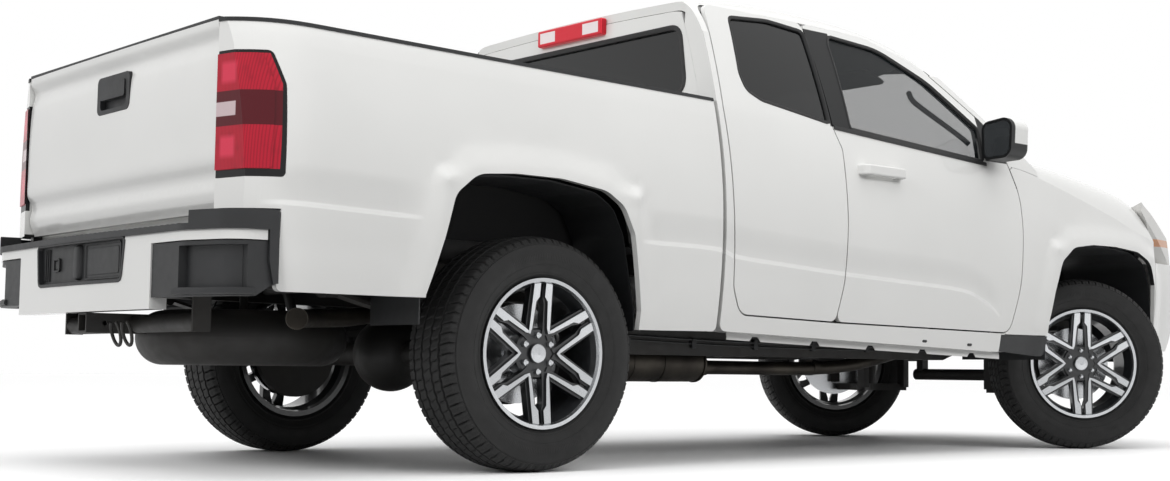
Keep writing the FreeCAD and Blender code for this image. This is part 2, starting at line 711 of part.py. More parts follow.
BUMPER_WALL = 30
bumper_top = 872
nose_outer = nose_space(450, bumper_top, 0)
nose_inner = nose_space(440, bumper_top + 10, BUMPER_WALL)
BUMPER_SIDE = [(2202, 470, 40), (2800, 430, 0), (2800, bumper_top, 0), (2202, bumper_top, 0)]
bumper = nose_outer.cut(nose_inner).common(Part.Face(rounded_wire(
    BUMPER_SIDE, lambda x, z: Vector(x, -1100, z))).extrude(Vector(0, 2200, 0)))
LOWER_INTAKE = [(-470, 560, 30), (470, 560, 30), (520, 706, 30), (-520, 706, 30)]
bumper = bumper.cut(rear_prism(LOWER_INTAKE, 2500, 2800))
GRILLE_OUTLINE = [(-428, 792, 20), (428, 792, 20), (452, 960, 30), (430, 1066, 40), (-430, 1066, 40),
                  (-452, 960, 30)]
bumper = bumper.cut(rear_prism(inset(GRILLE_OUTLINE, -0.3), 2500, 2800))
solid_feature("front_bumper", bumper)
hood_above = top_slab(lambda x, y: hood_top(x, y) + 60, 1990, 2700, -1000, 1000,
                      60 + size("hood_thickness") + gap)
hood_clearance = plan_prism(inset(HOOD_OUTLINE, -gap)).common(hood_above)

# Grille: a frame with bars across it, set into the nose between the headlamps
grille_zone = nose_slab(760, 1110, 46, -6).common(rear_prism(GRILLE_OUTLINE, 2300, 2800))
grille_hole = rear_prism(inset(GRILLE_OUTLINE, 26), 2300, 2800)
grille = grille_zone.cut(grille_hole)
bars = []
for bar_z in (840, 900, 960, 1020):
    bar_box = block(2300, 2800, -460, 460, bar_z - 9, bar_z + 9)
    bars.append(nose_slab(760, 1110, 30, -16).common(bar_box).common(
        rear_prism(inset(GRILLE_OUTLINE, 20), 2300, 2800)))
lower_bars = []
for bar_z in (598, 634, 670):
    bar_box = block(2300, 2800, -560, 560, bar_z - 7, bar_z + 7)
    lower_bars.append(nose_slab(540, 730, 22, -10).common(bar_box).common(
        rear_prism(inset(LOWER_INTAKE, 0.3), 2300, 2800)))
for rib_y in (-250, 250):
    rib_box = block(2300, 2800, rib_y - 8, rib_y + 8, 500, 800)
    lower_bars.append(nose_slab(540, 730, 26, -8).common(rib_box).common(
        rear_prism(inset(LOWER_INTAKE, 0.3), 2300, 2800)))
lower_grille = lower_bars[0].fuse(lower_bars[1:])
solid_feature("grille", Part.makeCompound([grille.fuse(bars).cut(hood_clearance), lower_grille]))

# Headlamps fill the corners between grille, hood, fender and bumper
LAMP_SIDE = [(2126, 1112, 20), (2220, 980, 30), (2206, bumper_top + 0.3, 0), (2800, bumper_top + 0.3, 0),
             (2800, 1170, 0), (2135, 1170, 0)]
lamp = nose_space(840, 1160, 4).common(top_slab(hood_top, 1990, 2640, -1000, -300, 500))
lamp = lamp.common(side_prism(LAMP_SIDE))
lamp = lamp.cut(nose_space(830, 1170, 130).translated(Vector(-10, 0, 0)))
lamp = lamp.common(block(2100, 2800, -1200, -462, 0, 2000))
lamp = lamp.cut(hood_clearance)
solid_feature("headlamps", Part.makeCompound([lamp, left_copy(lamp)]))

# Radiator core behind the grille, standing on the frame rails
rail_z = size("rail_bottom_height")
radiator = primitive("Box", "radiator", at=(2430, -400, rail_z + 161), Length=46, Width=800, Height=430)
keep(radiator, "radiator")

# Load box sides: outer skin, top rail, inner wall and wheelhouse in one welded side
box_front = size("box_front_x")
box_rear = size("box_rear_x")
wall_y = size("box_wall_y")
wall_t = size("box_wall_thickness")
floor_top = size("box_floor_height")
floor_bottom = floor_top - size("box_floor_thickness")


def rail_height_at(x):
    share = (box_front - x) / (box_front - box_rear)
    return size("rail_drop_front") + share * (size("rail_drop_rear") - size("rail_drop_front"))


BUMPER_NOTCH_X = -2464
BUMPER_NOTCH_Z = 792
TAIL_X = -2605
BED_OUTLINE = [(BUMPER_NOTCH_X, 552, 20), (-1960, 552, 30), (-1075, 474, 0), (box_front, 478, 20),
               (box_front, rail_height_at(box_front), 0), (TAIL_X, rail_height_at(box_rear), 0),
               (TAIL_X, BUMPER_NOTCH_Z, 0), (BUMPER_NOTCH_X, BUMPER_NOTCH_Z, 0)]
bed_cut = side_prism(BED_OUTLINE)

# The tail corner: a flat rear face, flush with the tailgate, slants forward to meet the side skin
TAIL_FACE_X = -2584
TAIL_FACE_SLANT = 0.25
TAIL_POST_Y = 719.5


def ahead_of_tail(shift):
    """The space ahead of the slanting rear face, which moves back by a shift."""
    corners = [(TAIL_FACE_X + TAIL_FACE_SLANT * (y - TAIL_POST_Y) - shift, -y, 0) for y in (650, 1000)]
    return plan_prism(corners + [(0, -1000, 0), (0, -650, 0)])


bed_side = side_slab(TAIL_X, box_front + 5, 460, 1370, 400, 38, 34)
bed_space = bed_side.common(ahead_of_tail(0))
skin_of_bed = bed_space.cut(bed_side.translated(Vector(0, size("box_skin"), 0))).common(bed_cut)
rail_low = [(x, z, 0) for x, z in ((TAIL_X, 1288), (box_front, 1256))]
rail_bar = bed_space.common(side_prism([rail_low[0], rail_low[1], BED_OUTLINE[4], BED_OUTLINE[5]]))
rail_bar = rail_bar.common(block(TAIL_X, box_front, -1200, -wall_y, 0, 2000))
inner_wall = side_prism([(box_rear, floor_bottom, 0), (box_front, floor_bottom, 0), BED_OUTLINE[4],
                         BED_OUTLINE[5]]).common(
    block(box_rear, box_front, -wall_y - wall_t, -wall_y, 0, 2000))
END_DEPTH = 20
bed_trimmed = bed_space.common(bed_cut)
ends = [bed_trimmed.common(block(TAIL_X, box_rear + END_DEPTH, -1200, -TAIL_POST_Y, 0, 2000)),
        bed_trimmed.common(block(box_front - END_DEPTH, box_front, -1200, -wall_y, floor_bottom, 2000))]
house_half = size("wheelhouse_half_length")
house_outer = [(rear_axle_x + house_half, floor_bottom, 0), (rear_axle_x + house_half - 60, 960, 90),
               (rear_axle_x + house_half - 200, size("wheelhouse_height"), 120),
               (rear_axle_x - house_half + 200, size("wheelhouse_height"), 120),
               (rear_axle_x - house_half + 60, 960, 90), (rear_axle_x - house_half, floor_bottom, 0)]
house_y = size("wheelhouse_inner_y")
house_band = block(-3000, 0, -BODY_HALF_WIDTH + 40, -house_y, 0, 2000)
house = side_prism(house_outer).common(house_band)
house_void_outline = inset([(x, z if z > floor_bottom else z - 60, r) for x, z, r in house_outer], 14)
house_void = side_prism(house_void_outline).common(
    block(-3000, 0, -1200, -house_y - 14, 0, 2000)).fuse(block(-3000, 0, -1200, 0, 0, floor_bottom))
house = house.cut(house_void)
inner_wall = inner_wall.cut(side_prism(house_void_outline))
bedside = skin_of_bed.fuse([rail_bar, inner_wall, house] + ends)
bedside = bedside.cut(side_prism(rear_arch).common(block(-3000, 0, -1200, -wall_y - wall_t, 0, 2000)))
LAMP_POCKET = [(-2700, 884, 0), (-2456, 884, 14), (-2448, 1160, 60), (-2480, 1262, 20), (-2700, 1262, 0)]
LENS_OUTLINE = [(-2700, 908, 0), (-2494, 908, 10), (-2482, 1160, 60), (-2508, 1252, 16), (-2700, 1252, 0)]
LAMP_BACK_X = -2568


def lamp_zone(inner_y, face_y):
    """The plan of a lamp: thick behind the side skin, thin where it covers the corner post."""
    thick = block(-2700, -2400, -1200, -inner_y, 0, 2000)
    return thick.fuse(block(-2700, LAMP_BACK_X, -1200, -face_y, 0, 2000))


lamp_body = side_prism(LAMP_POCKET).common(lamp_zone(wall_y, TAIL_POST_Y - 1))
bedside = bedside.cut(lamp_body)
solid_feature("bedsides", Part.makeCompound([bedside, left_copy(bedside)]))

# Tail lamps: a dark housing in each rear corner with a raised lens, and a third lamp over the rear window
LAMP_GAP = 1
LENS_RISE = 4
housing = side_slab(TAIL_X, -2400, 800, 1330, 300, 30, 40, lift=1).common(ahead_of_tail(-1))
housing = housing.common(side_prism(inset(LAMP_POCKET, LAMP_GAP))).common(
    lamp_zone(wall_y + LAMP_GAP, TAIL_POST_Y + LAMP_GAP))
lens = side_slab(TAIL_X, -2400, 800, 1330, 300, 30, 40, lift=-LENS_RISE).common(ahead_of_tail(LENS_RISE))
lens = lens.common(side_prism(LENS_OUTLINE)).common(lamp_zone(wall_y + 30, TAIL_POST_Y + 2.5))
tail_lamp = housing.fuse(lens)
third_lamp = block(cab_back_x + 2, cab_back_x + 50, -205, 205, 1668, 1736)
third_lamp = third_lamp.makeFillet(8, third_lamp.Edges)
third_lamp = third_lamp.cut(block(cab_back_x + BACK_TOP_LEAN - 5, 0, -900, 900, 1000, 1800)).cut(cab_back)
solid_feature("rear_lamps", Part.makeCompound([tail_lamp, left_copy(tail_lamp), third_lamp]))

# Caps along the two rails
cap_t = size("rail_cap_thickness")
CAP_SIDE = [(TAIL_X, rail_height_at(box_rear), 0), (box_front, rail_height_at(box_front), 0),
            (box_front, rail_height_at(box_front) + cap_t, 4), (TAIL_X, rail_height_at(box_rear) + cap_t, 4)]
cap_over = side_slab(TAIL_X - 20, box_front + 5, 1240, 1420, 200, 38, 34, lift=-3).common(ahead_of_tail(3))
cap = cap_over.common(side_prism(CAP_SIDE)).common(
    block(TAIL_X - 20, box_front, -1200, -wall_y + 4, 0, 2000).fuse(
        block(TAIL_X - 20, box_rear + END_DEPTH, -1200, -TAIL_POST_Y, 0, 2000)))
solid_feature("box_rail_caps", Part.makeCompound([cap, left_copy(cap)]))

# Load floor with ribs, its bulkhead, and the cross sills that carry it on the frame
floor_rear = size("box_floor_rear_x")
floor_front = box_front - 1
load_floor = block(floor_rear, floor_front, -wall_y + 1, wall_y - 1, floor_bottom, floor_top - 8)
notch = block(rear_axle_x - house_half - 1, rear_axle_x + house_half + 1, -1000, -house_y + 1, 0, 2000)
load_floor = load_floor.cut(notch).cut(left_copy(notch))
ribs = []
for rib_index in range(-5, 6):
    rib_y = rib_index * 98
    ribs.append(block(floor_rear + 10, floor_front - 30, rib_y - 30, rib_y + 30, floor_top - 9, floor_top))
bulkhead = block(floor_front - 22, floor_front, -wall_y + 1, wall_y - 1, floor_top - 9, 1306)
solid_feature("box_floor", load_floor.fuse(ribs + [bulkhead]))

# Tailgate: a hollow-looking pressed gate, bowed in plan, with a shadow band under its lip
gate_y = size("tailgate_half_width")
gate_low = size("tailgate_bottom")
gate_high = size("tailgate_top")


# How far the face lies forward of its rearmost station, as (height, setback)
GATE_PROFILE = [(750, 36), (792, 34), (820, 22), (850, 15), (885, 20), (905, 18), (935, 3), (1000, 2),
                (1150, 3), (1250, 8), (1296, 17), (1312, 15), (1334, 2), (1360, 0), (1400, 0)]
GATE_BOW = 7


def gate_x(y, z):
    """Station of the tailgate's outer face."""
    return size("tailgate_outer_x") + GATE_BOW * (y / gate_y) ** 2 + along(GATE_PROFILE, z)


gate_face = surface(lambda y, z: Vector(gate_x(y, z), y, z), spread(-gate_y - 40, gate_y + 40, 80),
                    spread(gate_low - 40, gate_high + 20, 11))
gate = gate_face.extrude(Vector(120, 0, 0)).common(
    block(-2700, size("tailgate_inner_x"), -gate_y, gate_y, gate_low, gate_high))
HANDLE_BEZEL = [(-122, 1160, 22), (122, 1160, 22), (122, 1284, 22), (-122, 1284, 22)]
gate = gate.cut(rear_prism(inset(HANDLE_BEZEL, -1), -2700, -2560))
PIVOT_RADIUS = 9
pivots = [rod((size("tailgate_hinge_x"), hand * (gate_y - 12), size("tailgate_hinge_height")),
              (size("tailgate_hinge_x"), hand * (TAIL_POST_Y - 0.3), size("tailgate_hinge_height")),
              PIVOT_RADIUS) for hand in (-1, 1)]
solid_feature("tailgate", gate.fuse(pivots))
gate_cap = block(-2584, size("tailgate_inner_x"), -gate_y, gate_y, gate_high, gate_high + 10)
handle_bezel = rear_prism(HANDLE_BEZEL, -2588, -2560)
handle_dip = rear_prism([(-98, 1174, 15), (98, 1174, 15), (98, 1232, 15), (-98, 1232, 15)], -2700, -2568)
paddle = rear_prism([(-92, 1206, 10), (92, 1206, 10), (92, 1262, 10), (-92, 1262, 10)], -2592, -2569)
solid_feature("tailgate_trim", Part.makeCompound([gate_cap, handle_bezel.cut(handle_dip).fuse(paddle)]))

# Rear bumper: a steel bar round the rear, cut away at each corner for the step inserts
BUMPER_EDGE = [(-2300, 903, 0), (-2474, 903, 10), (-2604, 896, 120), (-2674, 700, 160),
               (-half_length, 0, 6000), (-2674, -700, 160), (-2604, -896, 120), (-2474, -903, 10), (-2300, -903, 0)]
BUMPER_BOTTOM = 503
BUMPER_TOP = 729
BAND_BOTTOM = 699
BAND_END_X = -2501
INSERT_START_Y = 505
INSERT_BOTTOM = 537


def bumper_ring(outer, inner, low, high):
    """A band between two offsets of the bumper's outline."""
    inside = plan_prism(inset(BUMPER_EDGE, inner), low - 5, high + 5)
    return plan_prism(inset(BUMPER_EDGE, outer), low, high).cut(inside)


rear_bar = bumper_ring(7, 62, BUMPER_BOTTOM, BUMPER_TOP)
rear_bar = rear_bar.common(block(-2800, BAND_END_X, -1000, 1000, 0, 2000))
corner_window = block(-2800, -2400, -1000, -INSERT_START_Y, 0, BAND_BOTTOM)
PLATE_RECESS = [(-321, 593, 20), (321, 593, 20), (339, 740, 10), (-339, 740, 10)]
rear_bar = rear_bar.cut([corner_window, left_copy(corner_window), rear_prism(PLATE_RECESS, -2800, -2664)])
bracket_parts = []
for bracket_y in (-485, 415):
    bracket_parts.append(block(-2640, -2562, bracket_y, bracket_y + 70, 560, 690))
solid_feature("rear_bumper", rear_bar.fuse(bracket_parts))

# Its dark parts: the step pad along the top, raised at the corners, and an insert with a foot hole in each
PAD_TOP = 748
CORNER_PAD_Y = 724
pad = bumper_ring(0, 82, BUMPER_TOP, PAD_TOP).common(block(-2800, BAND_END_X + 20, -1000, 1000, 0, 2000))
CORNER_SIDE = [(-2800, BUMPER_TOP, 0), (BAND_END_X + SEAM, BUMPER_TOP, 0), (BAND_END_X + SEAM, 640, 0),
               (-2484, 570, 0), (-2468, 574, 0), (-2468, 788, 8), (-2800, 784, 0)]
corner_pad = bumper_ring(0, 68, 540, 790).common(side_prism(CORNER_SIDE)).common(
    block(-2800, -2400, -1000, -CORNER_PAD_Y, 0, 2000))
INSERT_SIDE = [(-2800, INSERT_BOTTOM, 0), (-2532, INSERT_BOTTOM, 0), (-2484, 570, 0), (-2476, 640, 0),
               (-2476, BAND_BOTTOM - SEAM, 0), (-2800, BAND_BOTTOM - SEAM, 0)]
insert = bumper_ring(11, 66, 530, 710).common(side_prism(INSERT_SIDE)).common(
    block(-2800, -2400, -1000, -INSERT_START_Y - SEAM, 0, 2000))
foot_hole = bumper_ring(-30, 37, 562, 684).common(block(-2800, -2558, -1000, -668, 0, 2000))
insert = insert.cut(foot_hole)
corners = corner_pad.fuse(insert)
solid_feature("rear_bumper_pads", pad.fuse([corners, left_copy(corners)]))

# Wheel liners inside the four arches
liners = []
for arch, y_in, y_out in ((front_arch, -446, -896), (rear_arch, -604, -880)):
    liner = side_prism(inset(arch, 0.3))
    liner = liner.cut(side_prism(inset(arch, 5)).fuse(block(-3000, 3000, -1200, 0, 0, 400)))
    liners.append(liner.common(block(-3000, 3000, y_out, y_in, 0, 2000)))
liners[1] = liners[1].common(block(-3000, 0, -1200, 0, 470, 2000))
MUD_GUARD = [(ROCKER_END + SEAM, 434, 6), (1300, 414, 20), (1330, 424, 0), (1330, FENDER_FOOT - SEAM, 0),
             (ROCKER_END + SEAM, FENDER_FOOT - SEAM, 6)]
guard = side_slab(980, 1340, 400, 520, 18, 40, 36, lift=2).common(side_prism(MUD_GUARD))
liners[0] = liners[0].fuse(guard)
solid_feature("wheel_liners", Part.makeCompound(liners + [left_copy(one) for one in liners]))

# Frame rails: two long box rails with a kick over each axle, narrower at the front
rail_w = size("rail_width")
rail_z = size("rail_bottom_height")
rear_y = size("rail_rear_outer_y")
front_y = size("rail_front_outer_y")
rail_top_rear = floor_bottom - 80
RAIL_BOTTOM = [(-2560, rail_top_rear - 110), (-2080, rail_top_rear - 110), (-1180, rail_top_rear - 120),
               (-900, rail_z - 45), (1130, rail_z - 45), (1420, rail_z + 20), (2100, rail_z + 40),
               (2480, rail_z + 50)]
RAIL_TOP = [(2480, rail_z + 160), (2100, rail_z + 165), (1420, rail_z + 150), (1130, rail_z + 88),
            (-860, rail_z + 88), (-1120, rail_top_rear), (-2560, rail_top_rear)]
rail_side = [(x, z, 60) for x, z in RAIL_BOTTOM + RAIL_TOP]
rail_side[0] = rail_side[0][:2] + (0,)
rail_side[7] = rail_side[7][:2] + (0,)
rail_side[8] = rail_side[8][:2] + (0,)
rail_side[-1] = rail_side[-1][:2] + (0,)
RAIL_PLAN = [(-2560, -rear_y, 0), (1000, -rear_y, 300), (1380, -front_y, 300), (2480, -front_y, 0),
             (2480, -front_y + rail_w, 0), (1380, -front_y + rail_w, 300),
             (1000, -rear_y + rail_w, 300), (-2560, -rear_y + rail_w, 0)]
rail = side_prism(rail_side).common(plan_prism(RAIL_PLAN))
rail_void = side_prism(inset(rail_side, size("rail_wall"))).common(
    plan_prism(inset(RAIL_PLAN, size("rail_wall"))))
rail = rail.cut(rail_void)
solid_feature("frame_rails", Part.makeCompound([rail, left_copy(rail)]))

# Cross members between the rails, each a plain tube or channel from rail to rail
inner_rear_y = rear_y - rail_w
inner_front_y = front_y - rail_w
cross = [block(-2560, -2500, -inner_rear_y, inner_rear_y, rail_top_rear - 105, rail_top_rear - 8)]
cross.append(rod((-1760, -inner_rear_y, rail_top_rear - 50), (-1760, inner_rear_y, rail_top_rear - 50), 34))
cross.append(rod((-1150, -inner_rear_y, rail_top_rear - 60), (-1150, inner_rear_y, rail_top_rear - 60), 34))
cross.append(block(-60, 20, -inner_rear_y, inner_rear_y, rail_z - 44, rail_z - 12))
cross.append(block(1560, 1660, -inner_front_y, inner_front_y, rail_z + 40, rail_z + 80))
cross.append(block(1880, 1980, -inner_front_y, inner_front_y, rail_z + 46, rail_z + 84))
cross.append(block(2440, 2478, -inner_front_y, inner_front_y, rail_z + 60, rail_z + 150))
nose_beam = block(2481, 2540, -620, 620, rail_z + 56, rail_z + 156)
cross.append(nose_beam)

# Cross sills under the load floor, and rubber mounts between frame and cab
sills = []
for sill_x in (-2440, -1990, -1030, -760):
    sills.append(block(sill_x, sill_x + 60, -640, 640, rail_top_rear + 1, floor_bottom - 0.5))
solid_feature("box_sills", Part.makeCompound(sills))
mounts_of_cab = []
for mount_x in (-560, 360, 900):
    for mount_y in (-485, 485):
        mounts_of_cab.append(Part.makeCylinder(34, floor_z - rail_z - 88.5, Vector(mount_x, mount_y, rail_z + 88)))
solid_feature("cab_mounts", Part.makeCompound(mounts_of_cab))

# Hitch: a square socket on a cross tube between the rear ends of the rails
hitch_z = size("receiver_height")
inside = size("receiver_inside")
outside = inside + 2 * size("receiver_wall")
hitch_rear_x = -2664
hitch_body = primitive("Box", "receiver_tube", at=(hitch_rear_x, -outside / 2, hitch_z - outside / 2),
                       Length="sizes.receiver_length", Width="sizes.receiver_inside + 2 * sizes.receiver_wall",
                       Height="sizes.receiver_inside + 2 * sizes.receiver_wall")
hitch_hole = primitive("Box", "receiver_bore", at=(hitch_rear_x - 10, -inside / 2, hitch_z - inside / 2),
                       Length="sizes.receiver_length + 20", Width="sizes.receiver_inside",
                       Height="sizes.receiver_inside")
hitch_bar = primitive("Cylinder", "hitch_cross_tube", at=(-2490, -470, hitch_z), turn=UPRIGHT_ALONG_Y,
                      Radius="sizes.receiver_inside / 2 + 4", Height=940)
pin_hole = primitive("Cylinder", "hitch_pin_bore", at=(hitch_rear_x + 62, -outside, hitch_z),
                     turn=UPRIGHT_ALONG_Y, Radius="sizes.pin_hole_diameter / 2",
                     Height="2 * (sizes.receiver_inside + 2 * sizes.receiver_wall)")
ear_height = rail_top_rear - 110 - 0.3 - (hitch_z - 30)
ear_right = primitive("Box", "hitch_ear_right", at=(-2520, -480, hitch_z - 30), Length=60, Width=10,
                      Height=ear_height)
ear_left = primitive("Box", "hitch_ear_left", at=(-2520, 470, hitch_z - 30), Length=60, Width=10,
                     Height=ear_height)
hitch_outer = fused("hitch_outer", [hitch_body, hitch_bar, ear_right, ear_left])
hitch_sockets = fused("hitch_sockets", [hitch_hole, pin_hole])
keep(boolean("Cut", "hitch_receiver", hitch_outer, hitch_sockets), "hitch_receiver")

# Engine and gearbox, as plain masses at their real place
engine = block(1290, 1960, -270, 270, 620, 1150)
engine = engine.makeFillet(40, engine.Edges)
pan = block(1400, 1860, -180, 180, 545, 640)
gearbox = Part.makeCone(126, 94, 560, Vector(1300, 0, 600), Vector(-1, 0, -0.13))
transfer = rod((780, 0, 532), (480, 0, 500), 78)
solid_feature("engine_and_gearbox", engine.fuse([pan, gearbox, transfer]))

# Propeller shaft with its two joints, from the gearbox to the rear axle
shaft_front = Vector(470, 0, 500)
shaft_rear = Vector(rear_axle_x + 262, 0, hub_z + 18)
shaft_dir = (shaft_rear - shaft_front).normalize()
shaft_length = (shaft_rear - shaft_front).Length
shaft = Part.makeCylinder(38, shaft_length, shaft_front, shaft_dir)
collars = [Part.makeCylinder(54, 60, shaft_front, shaft_dir),
           Part.makeCylinder(54, 60, shaft_rear - shaft_dir * 60, shaft_dir)]
solid_feature("driveshaft", shaft.fuse(collars))

# Rear axle: tubes, differential housing and spring pads in one casting
spring_y = 565
axle_end = size("wheel_plane_y") - 95
axle_tube = primitive("Cylinder", "axle_tube", at=(rear_axle_x, -axle_end, hub_z), turn=UPRIGHT_ALONG_Y,
                      Radius=44, Height="2 * (sizes.wheel_plane_y - 95)")
diff_ball = primitive("Sphere", "differential", at=(rear_axle_x, 0, hub_z), Radius=138)
pinion = primitive("Cone", "pinion_nose", at=(rear_axle_x + 90, 0, hub_z + 4), turn=UPRIGHT_ALONG_X,
                   Radius1=105, Radius2=56, Height=166)
pads = []
for pad_side, pad_y in (("right", -spring_y - 45), ("left", spring_y - 45)):
    pads.append(primitive("Box", "spring_pad_" + pad_side, at=(rear_axle_x - 60, pad_y, hub_z + 20),
                          Length=120, Width=90, Height=40))
brakes = []
for disc_side, disc_y in (("right", -axle_end - 8), ("left", axle_end - 20)):
    brakes.append(primitive("Cylinder", "brake_plate_" + disc_side, at=(rear_axle_x, disc_y, hub_z),
                            turn=UPRIGHT_ALONG_Y, Radius=170, Height=28))
stubs = []
for stub_side, stub_y in (("right", -size("wheel_plane_y") + 36.3), ("left", size("wheel_plane_y") - 96.3)):
    stubs.append(primitive("Cylinder", "hub_stub_" + stub_side, at=(rear_axle_x, stub_y, hub_z),
                           turn=UPRIGHT_ALONG_Y, Radius=53, Height=60))
keep(fused("rear_axle", [axle_tube, diff_ball, pinion] + pads + brakes + stubs), "rear_axle")

# Leaf springs: a pack of three leaves on each side, from hanger to shackle
SPRING_EYE_FRONT = (-905, 520)
SPRING_EYE_REAR = (-2110, 575)
SPRING_WIDTH = 62
LEAF = 11


def leaf_arc(front_x, front_z, rear_x, rear_z, low_z, thickness):
    """One leaf: an arc through the axle seat, between its two ends."""
    def arc_edge(lift):
        return Part.Arc(Vector(rear_x, 0, rear_z + lift), Vector(rear_axle_x, 0, low_z + lift),
                        Vector(front_x, 0, front_z + lift)).toShape()
    low, high = arc_edge(0), arc_edge(thickness)
    close_front = Part.LineSegment(Vector(front_x, 0, front_z), Vector(front_x, 0, front_z + thickness)).toShape()
    close_rear = Part.LineSegment(Vector(rear_x, 0, rear_z + thickness), Vector(rear_x, 0, rear_z)).toShape()
    wire = Part.Wire([low, close_front, high, close_rear])
    return Part.Face(wire).extrude(Vector(0, SPRING_WIDTH, 0))


seat_z = hub_z + 61
main_leaf = leaf_arc(SPRING_EYE_FRONT[0], SPRING_EYE_FRONT[1], SPRING_EYE_REAR[0], SPRING_EYE_REAR[1],
                     seat_z + 2 * LEAF, LEAF)
second_leaf = leaf_arc(-1090, 500, -1900, 528, seat_z + LEAF, LEAF + 1)
third_leaf = leaf_arc(-1270, 466, -1720, 480, seat_z, LEAF + 1)
eye_front = Part.makeCylinder(24, SPRING_WIDTH, Vector(SPRING_EYE_FRONT[0], 0, SPRING_EYE_FRONT[1] + 4), Y_AXIS)
eye_rear = Part.makeCylinder(22, SPRING_WIDTH, Vector(SPRING_EYE_REAR[0], 0, SPRING_EYE_REAR[1] + 4), Y_AXIS)
spring_pack = main_leaf.fuse([second_leaf, third_leaf, eye_front, eye_rear])
spring_right = spring_pack.translated(Vector(0, -spring_y - SPRING_WIDTH / 2, 0))
hanger_front = block(SPRING_EYE_FRONT[0] - 30, SPRING_EYE_FRONT[0] + 30, -spring_y - 40, -spring_y - 32,
                     490, 590)
hanger_plate = block(SPRING_EYE_FRONT[0] - 30, SPRING_EYE_FRONT[0] + 30, -spring_y - 40, -rear_y - 1, 560, 590)
shackle = block(SPRING_EYE_REAR[0] - 20, SPRING_EYE_REAR[0] + 20, -spring_y - 40, -spring_y - 32, 556, 672)
shackle_plate = block(SPRING_EYE_REAR[0] - 20, SPRING_EYE_REAR[0] + 20, -spring_y - 40, -rear_y - 1, 630, 672)
spring_set = spring_right.fuse([hanger_front, hanger_plate, shackle, shackle_plate])
solid_feature("leaf_springs", Part.makeCompound([spring_set, left_copy(spring_set)]))

# Shock absorbers: body and rod from the axle up to the frame
shock_low = (rear_axle_x - 96, -430, hub_z - 30)
shock_high = (rear_axle_x - 210, -430, rail_top_rear - 20)
shock_body = rod(shock_low, (rear_axle_x - 160, -430, hub_z + 130), 27)
shock_rod = rod((rear_axle_x - 150, -430, hub_z + 110), shock_high, 19)
shock_foot = rod((rear_axle_x, -430, hub_z - 20), shock_low, 20)
axle_room = rod((rear_axle_x, -600, hub_z), (rear_axle_x, 600, hub_z), 45)
rear_shock = shock_body.fuse([shock_rod, shock_foot]).cut(axle_room)
solid_feature("shock_absorbers", Part.makeCompound([rear_shock, left_copy(rear_shock)]))

# Exhaust: front pipe, silencer, and the tail pipe round the axle to the right rear corner
SILENCER_Z = 368
silencer = Part.makeCylinder(80, 620, Vector(-820, -270, SILENCER_Z), X_AXIS)
front_pipe = tube_path([(-210, -270, SILENCER_Z - 18), (620, -270, SILENCER_Z - 10), (1220, -235, 455),
                        (1400, -225, 520), (1400, -225, 619)], 29, 50)
tail_pipe = tube_path([(-815, -270, SILENCER_Z), (-1060, -300, 400), (-1350, -330, 525), (-1700, -330, 525),
                       (-1960, -520, 436), (-2230, -690, 408), (-2420, -735, 398)], 29, 90)
tail_bore = rod((-2300, -706, 405), (-2430, -738, 397), 25)
solid_feature("exhaust", silencer.fuse([front_pipe, tail_pipe]).cut(tail_bore))

# Fuel tank on the left, between the rail and the propeller shaft
tank = primitive("Box", "fuel_tank_block", at=(-840, 90, 330), Length=760, Width=345, Height=210)
tank_round = doc.addObject("Part::Fillet", "fuel_tank")
tank_round.Base = tank
doc.recompute()
tank_round.Edges = [(index + 1, 36, 36) for index in range(len(tank.Shape.Edges))]
keep(tank_round, "fuel_tank")

# Spare wheel: lies flat under the load floor, behind the rear axle
SPARE_X = -2095
SPARE_Z = 430
spare = Part.makeTorus(262, 92, Vector(SPARE_X, 0, SPARE_Z), Z_AXIS)
spare_dish = Part.makeCylinder(205, 60, Vector(SPARE_X, 0, SPARE_Z - 40))
spare_cross = block(SPARE_X - 30, SPARE_X + 30, -inner_rear_y, inner_rear_y,
                    rail_top_rear - 60, rail_top_rear - 20)
solid_feature("spare_wheel", spare.fuse([spare_dish]))
spare_hanger = rod((SPARE_X, 0, SPARE_Z + 20.3), (SPARE_X, 0, rail_top_rear - 40), 14)
cross.append(spare_cross.fuse(spare_hanger))
solid_feature("frame_crossmembers", Part.makeCompound(cross))

# Front suspension: lower and upper arms, spring struts and the steering rack
kingpin_y = size("kingpin_y")
LOWER_BALL_Z = 262
UPPER_BALL_Z = 540
ball_y = -kingpin_y + 46
lower_arm_plan = [(front_axle_x - 178, -inner_front_y - 12, 20), (front_axle_x - 178, -inner_front_y - 58, 20),
                  (front_axle_x - 84, -545, 80), (front_axle_x - 34, ball_y, 20), (front_axle_x + 34, ball_y, 20),
                  (front_axle_x + 84, -545, 80), (front_axle_x + 178, -inner_front_y - 58, 20),
                  (front_axle_x + 178, -inner_front_y - 12, 20), (front_axle_x, -470, 60)]
lower_arm = plan_prism(lower_arm_plan, LOWER_BALL_Z - 16, LOWER_BALL_Z + 18)
upper_arm_plan = [(front_axle_x - 110, -front_y - 8, 16), (front_axle_x - 110, -front_y - 44, 16),
                  (front_axle_x - 30, ball_y, 16), (front_axle_x + 30, ball_y, 16),
                  (front_axle_x + 110, -front_y - 44, 16), (front_axle_x + 110, -front_y - 8, 16),
                  (front_axle_x, -520, 50)]
upper_arm = plan_prism(upper_arm_plan, UPPER_BALL_Z, UPPER_BALL_Z + 24)
arm_post = []
for post_x, post_top in ((front_axle_x - 178, rail_z + 22), (front_axle_x + 138, rail_z + 34)):
    arm_post.append(block(post_x, post_x + 40, -inner_front_y - 56, -inner_front_y - 14, LOWER_BALL_Z, post_top))
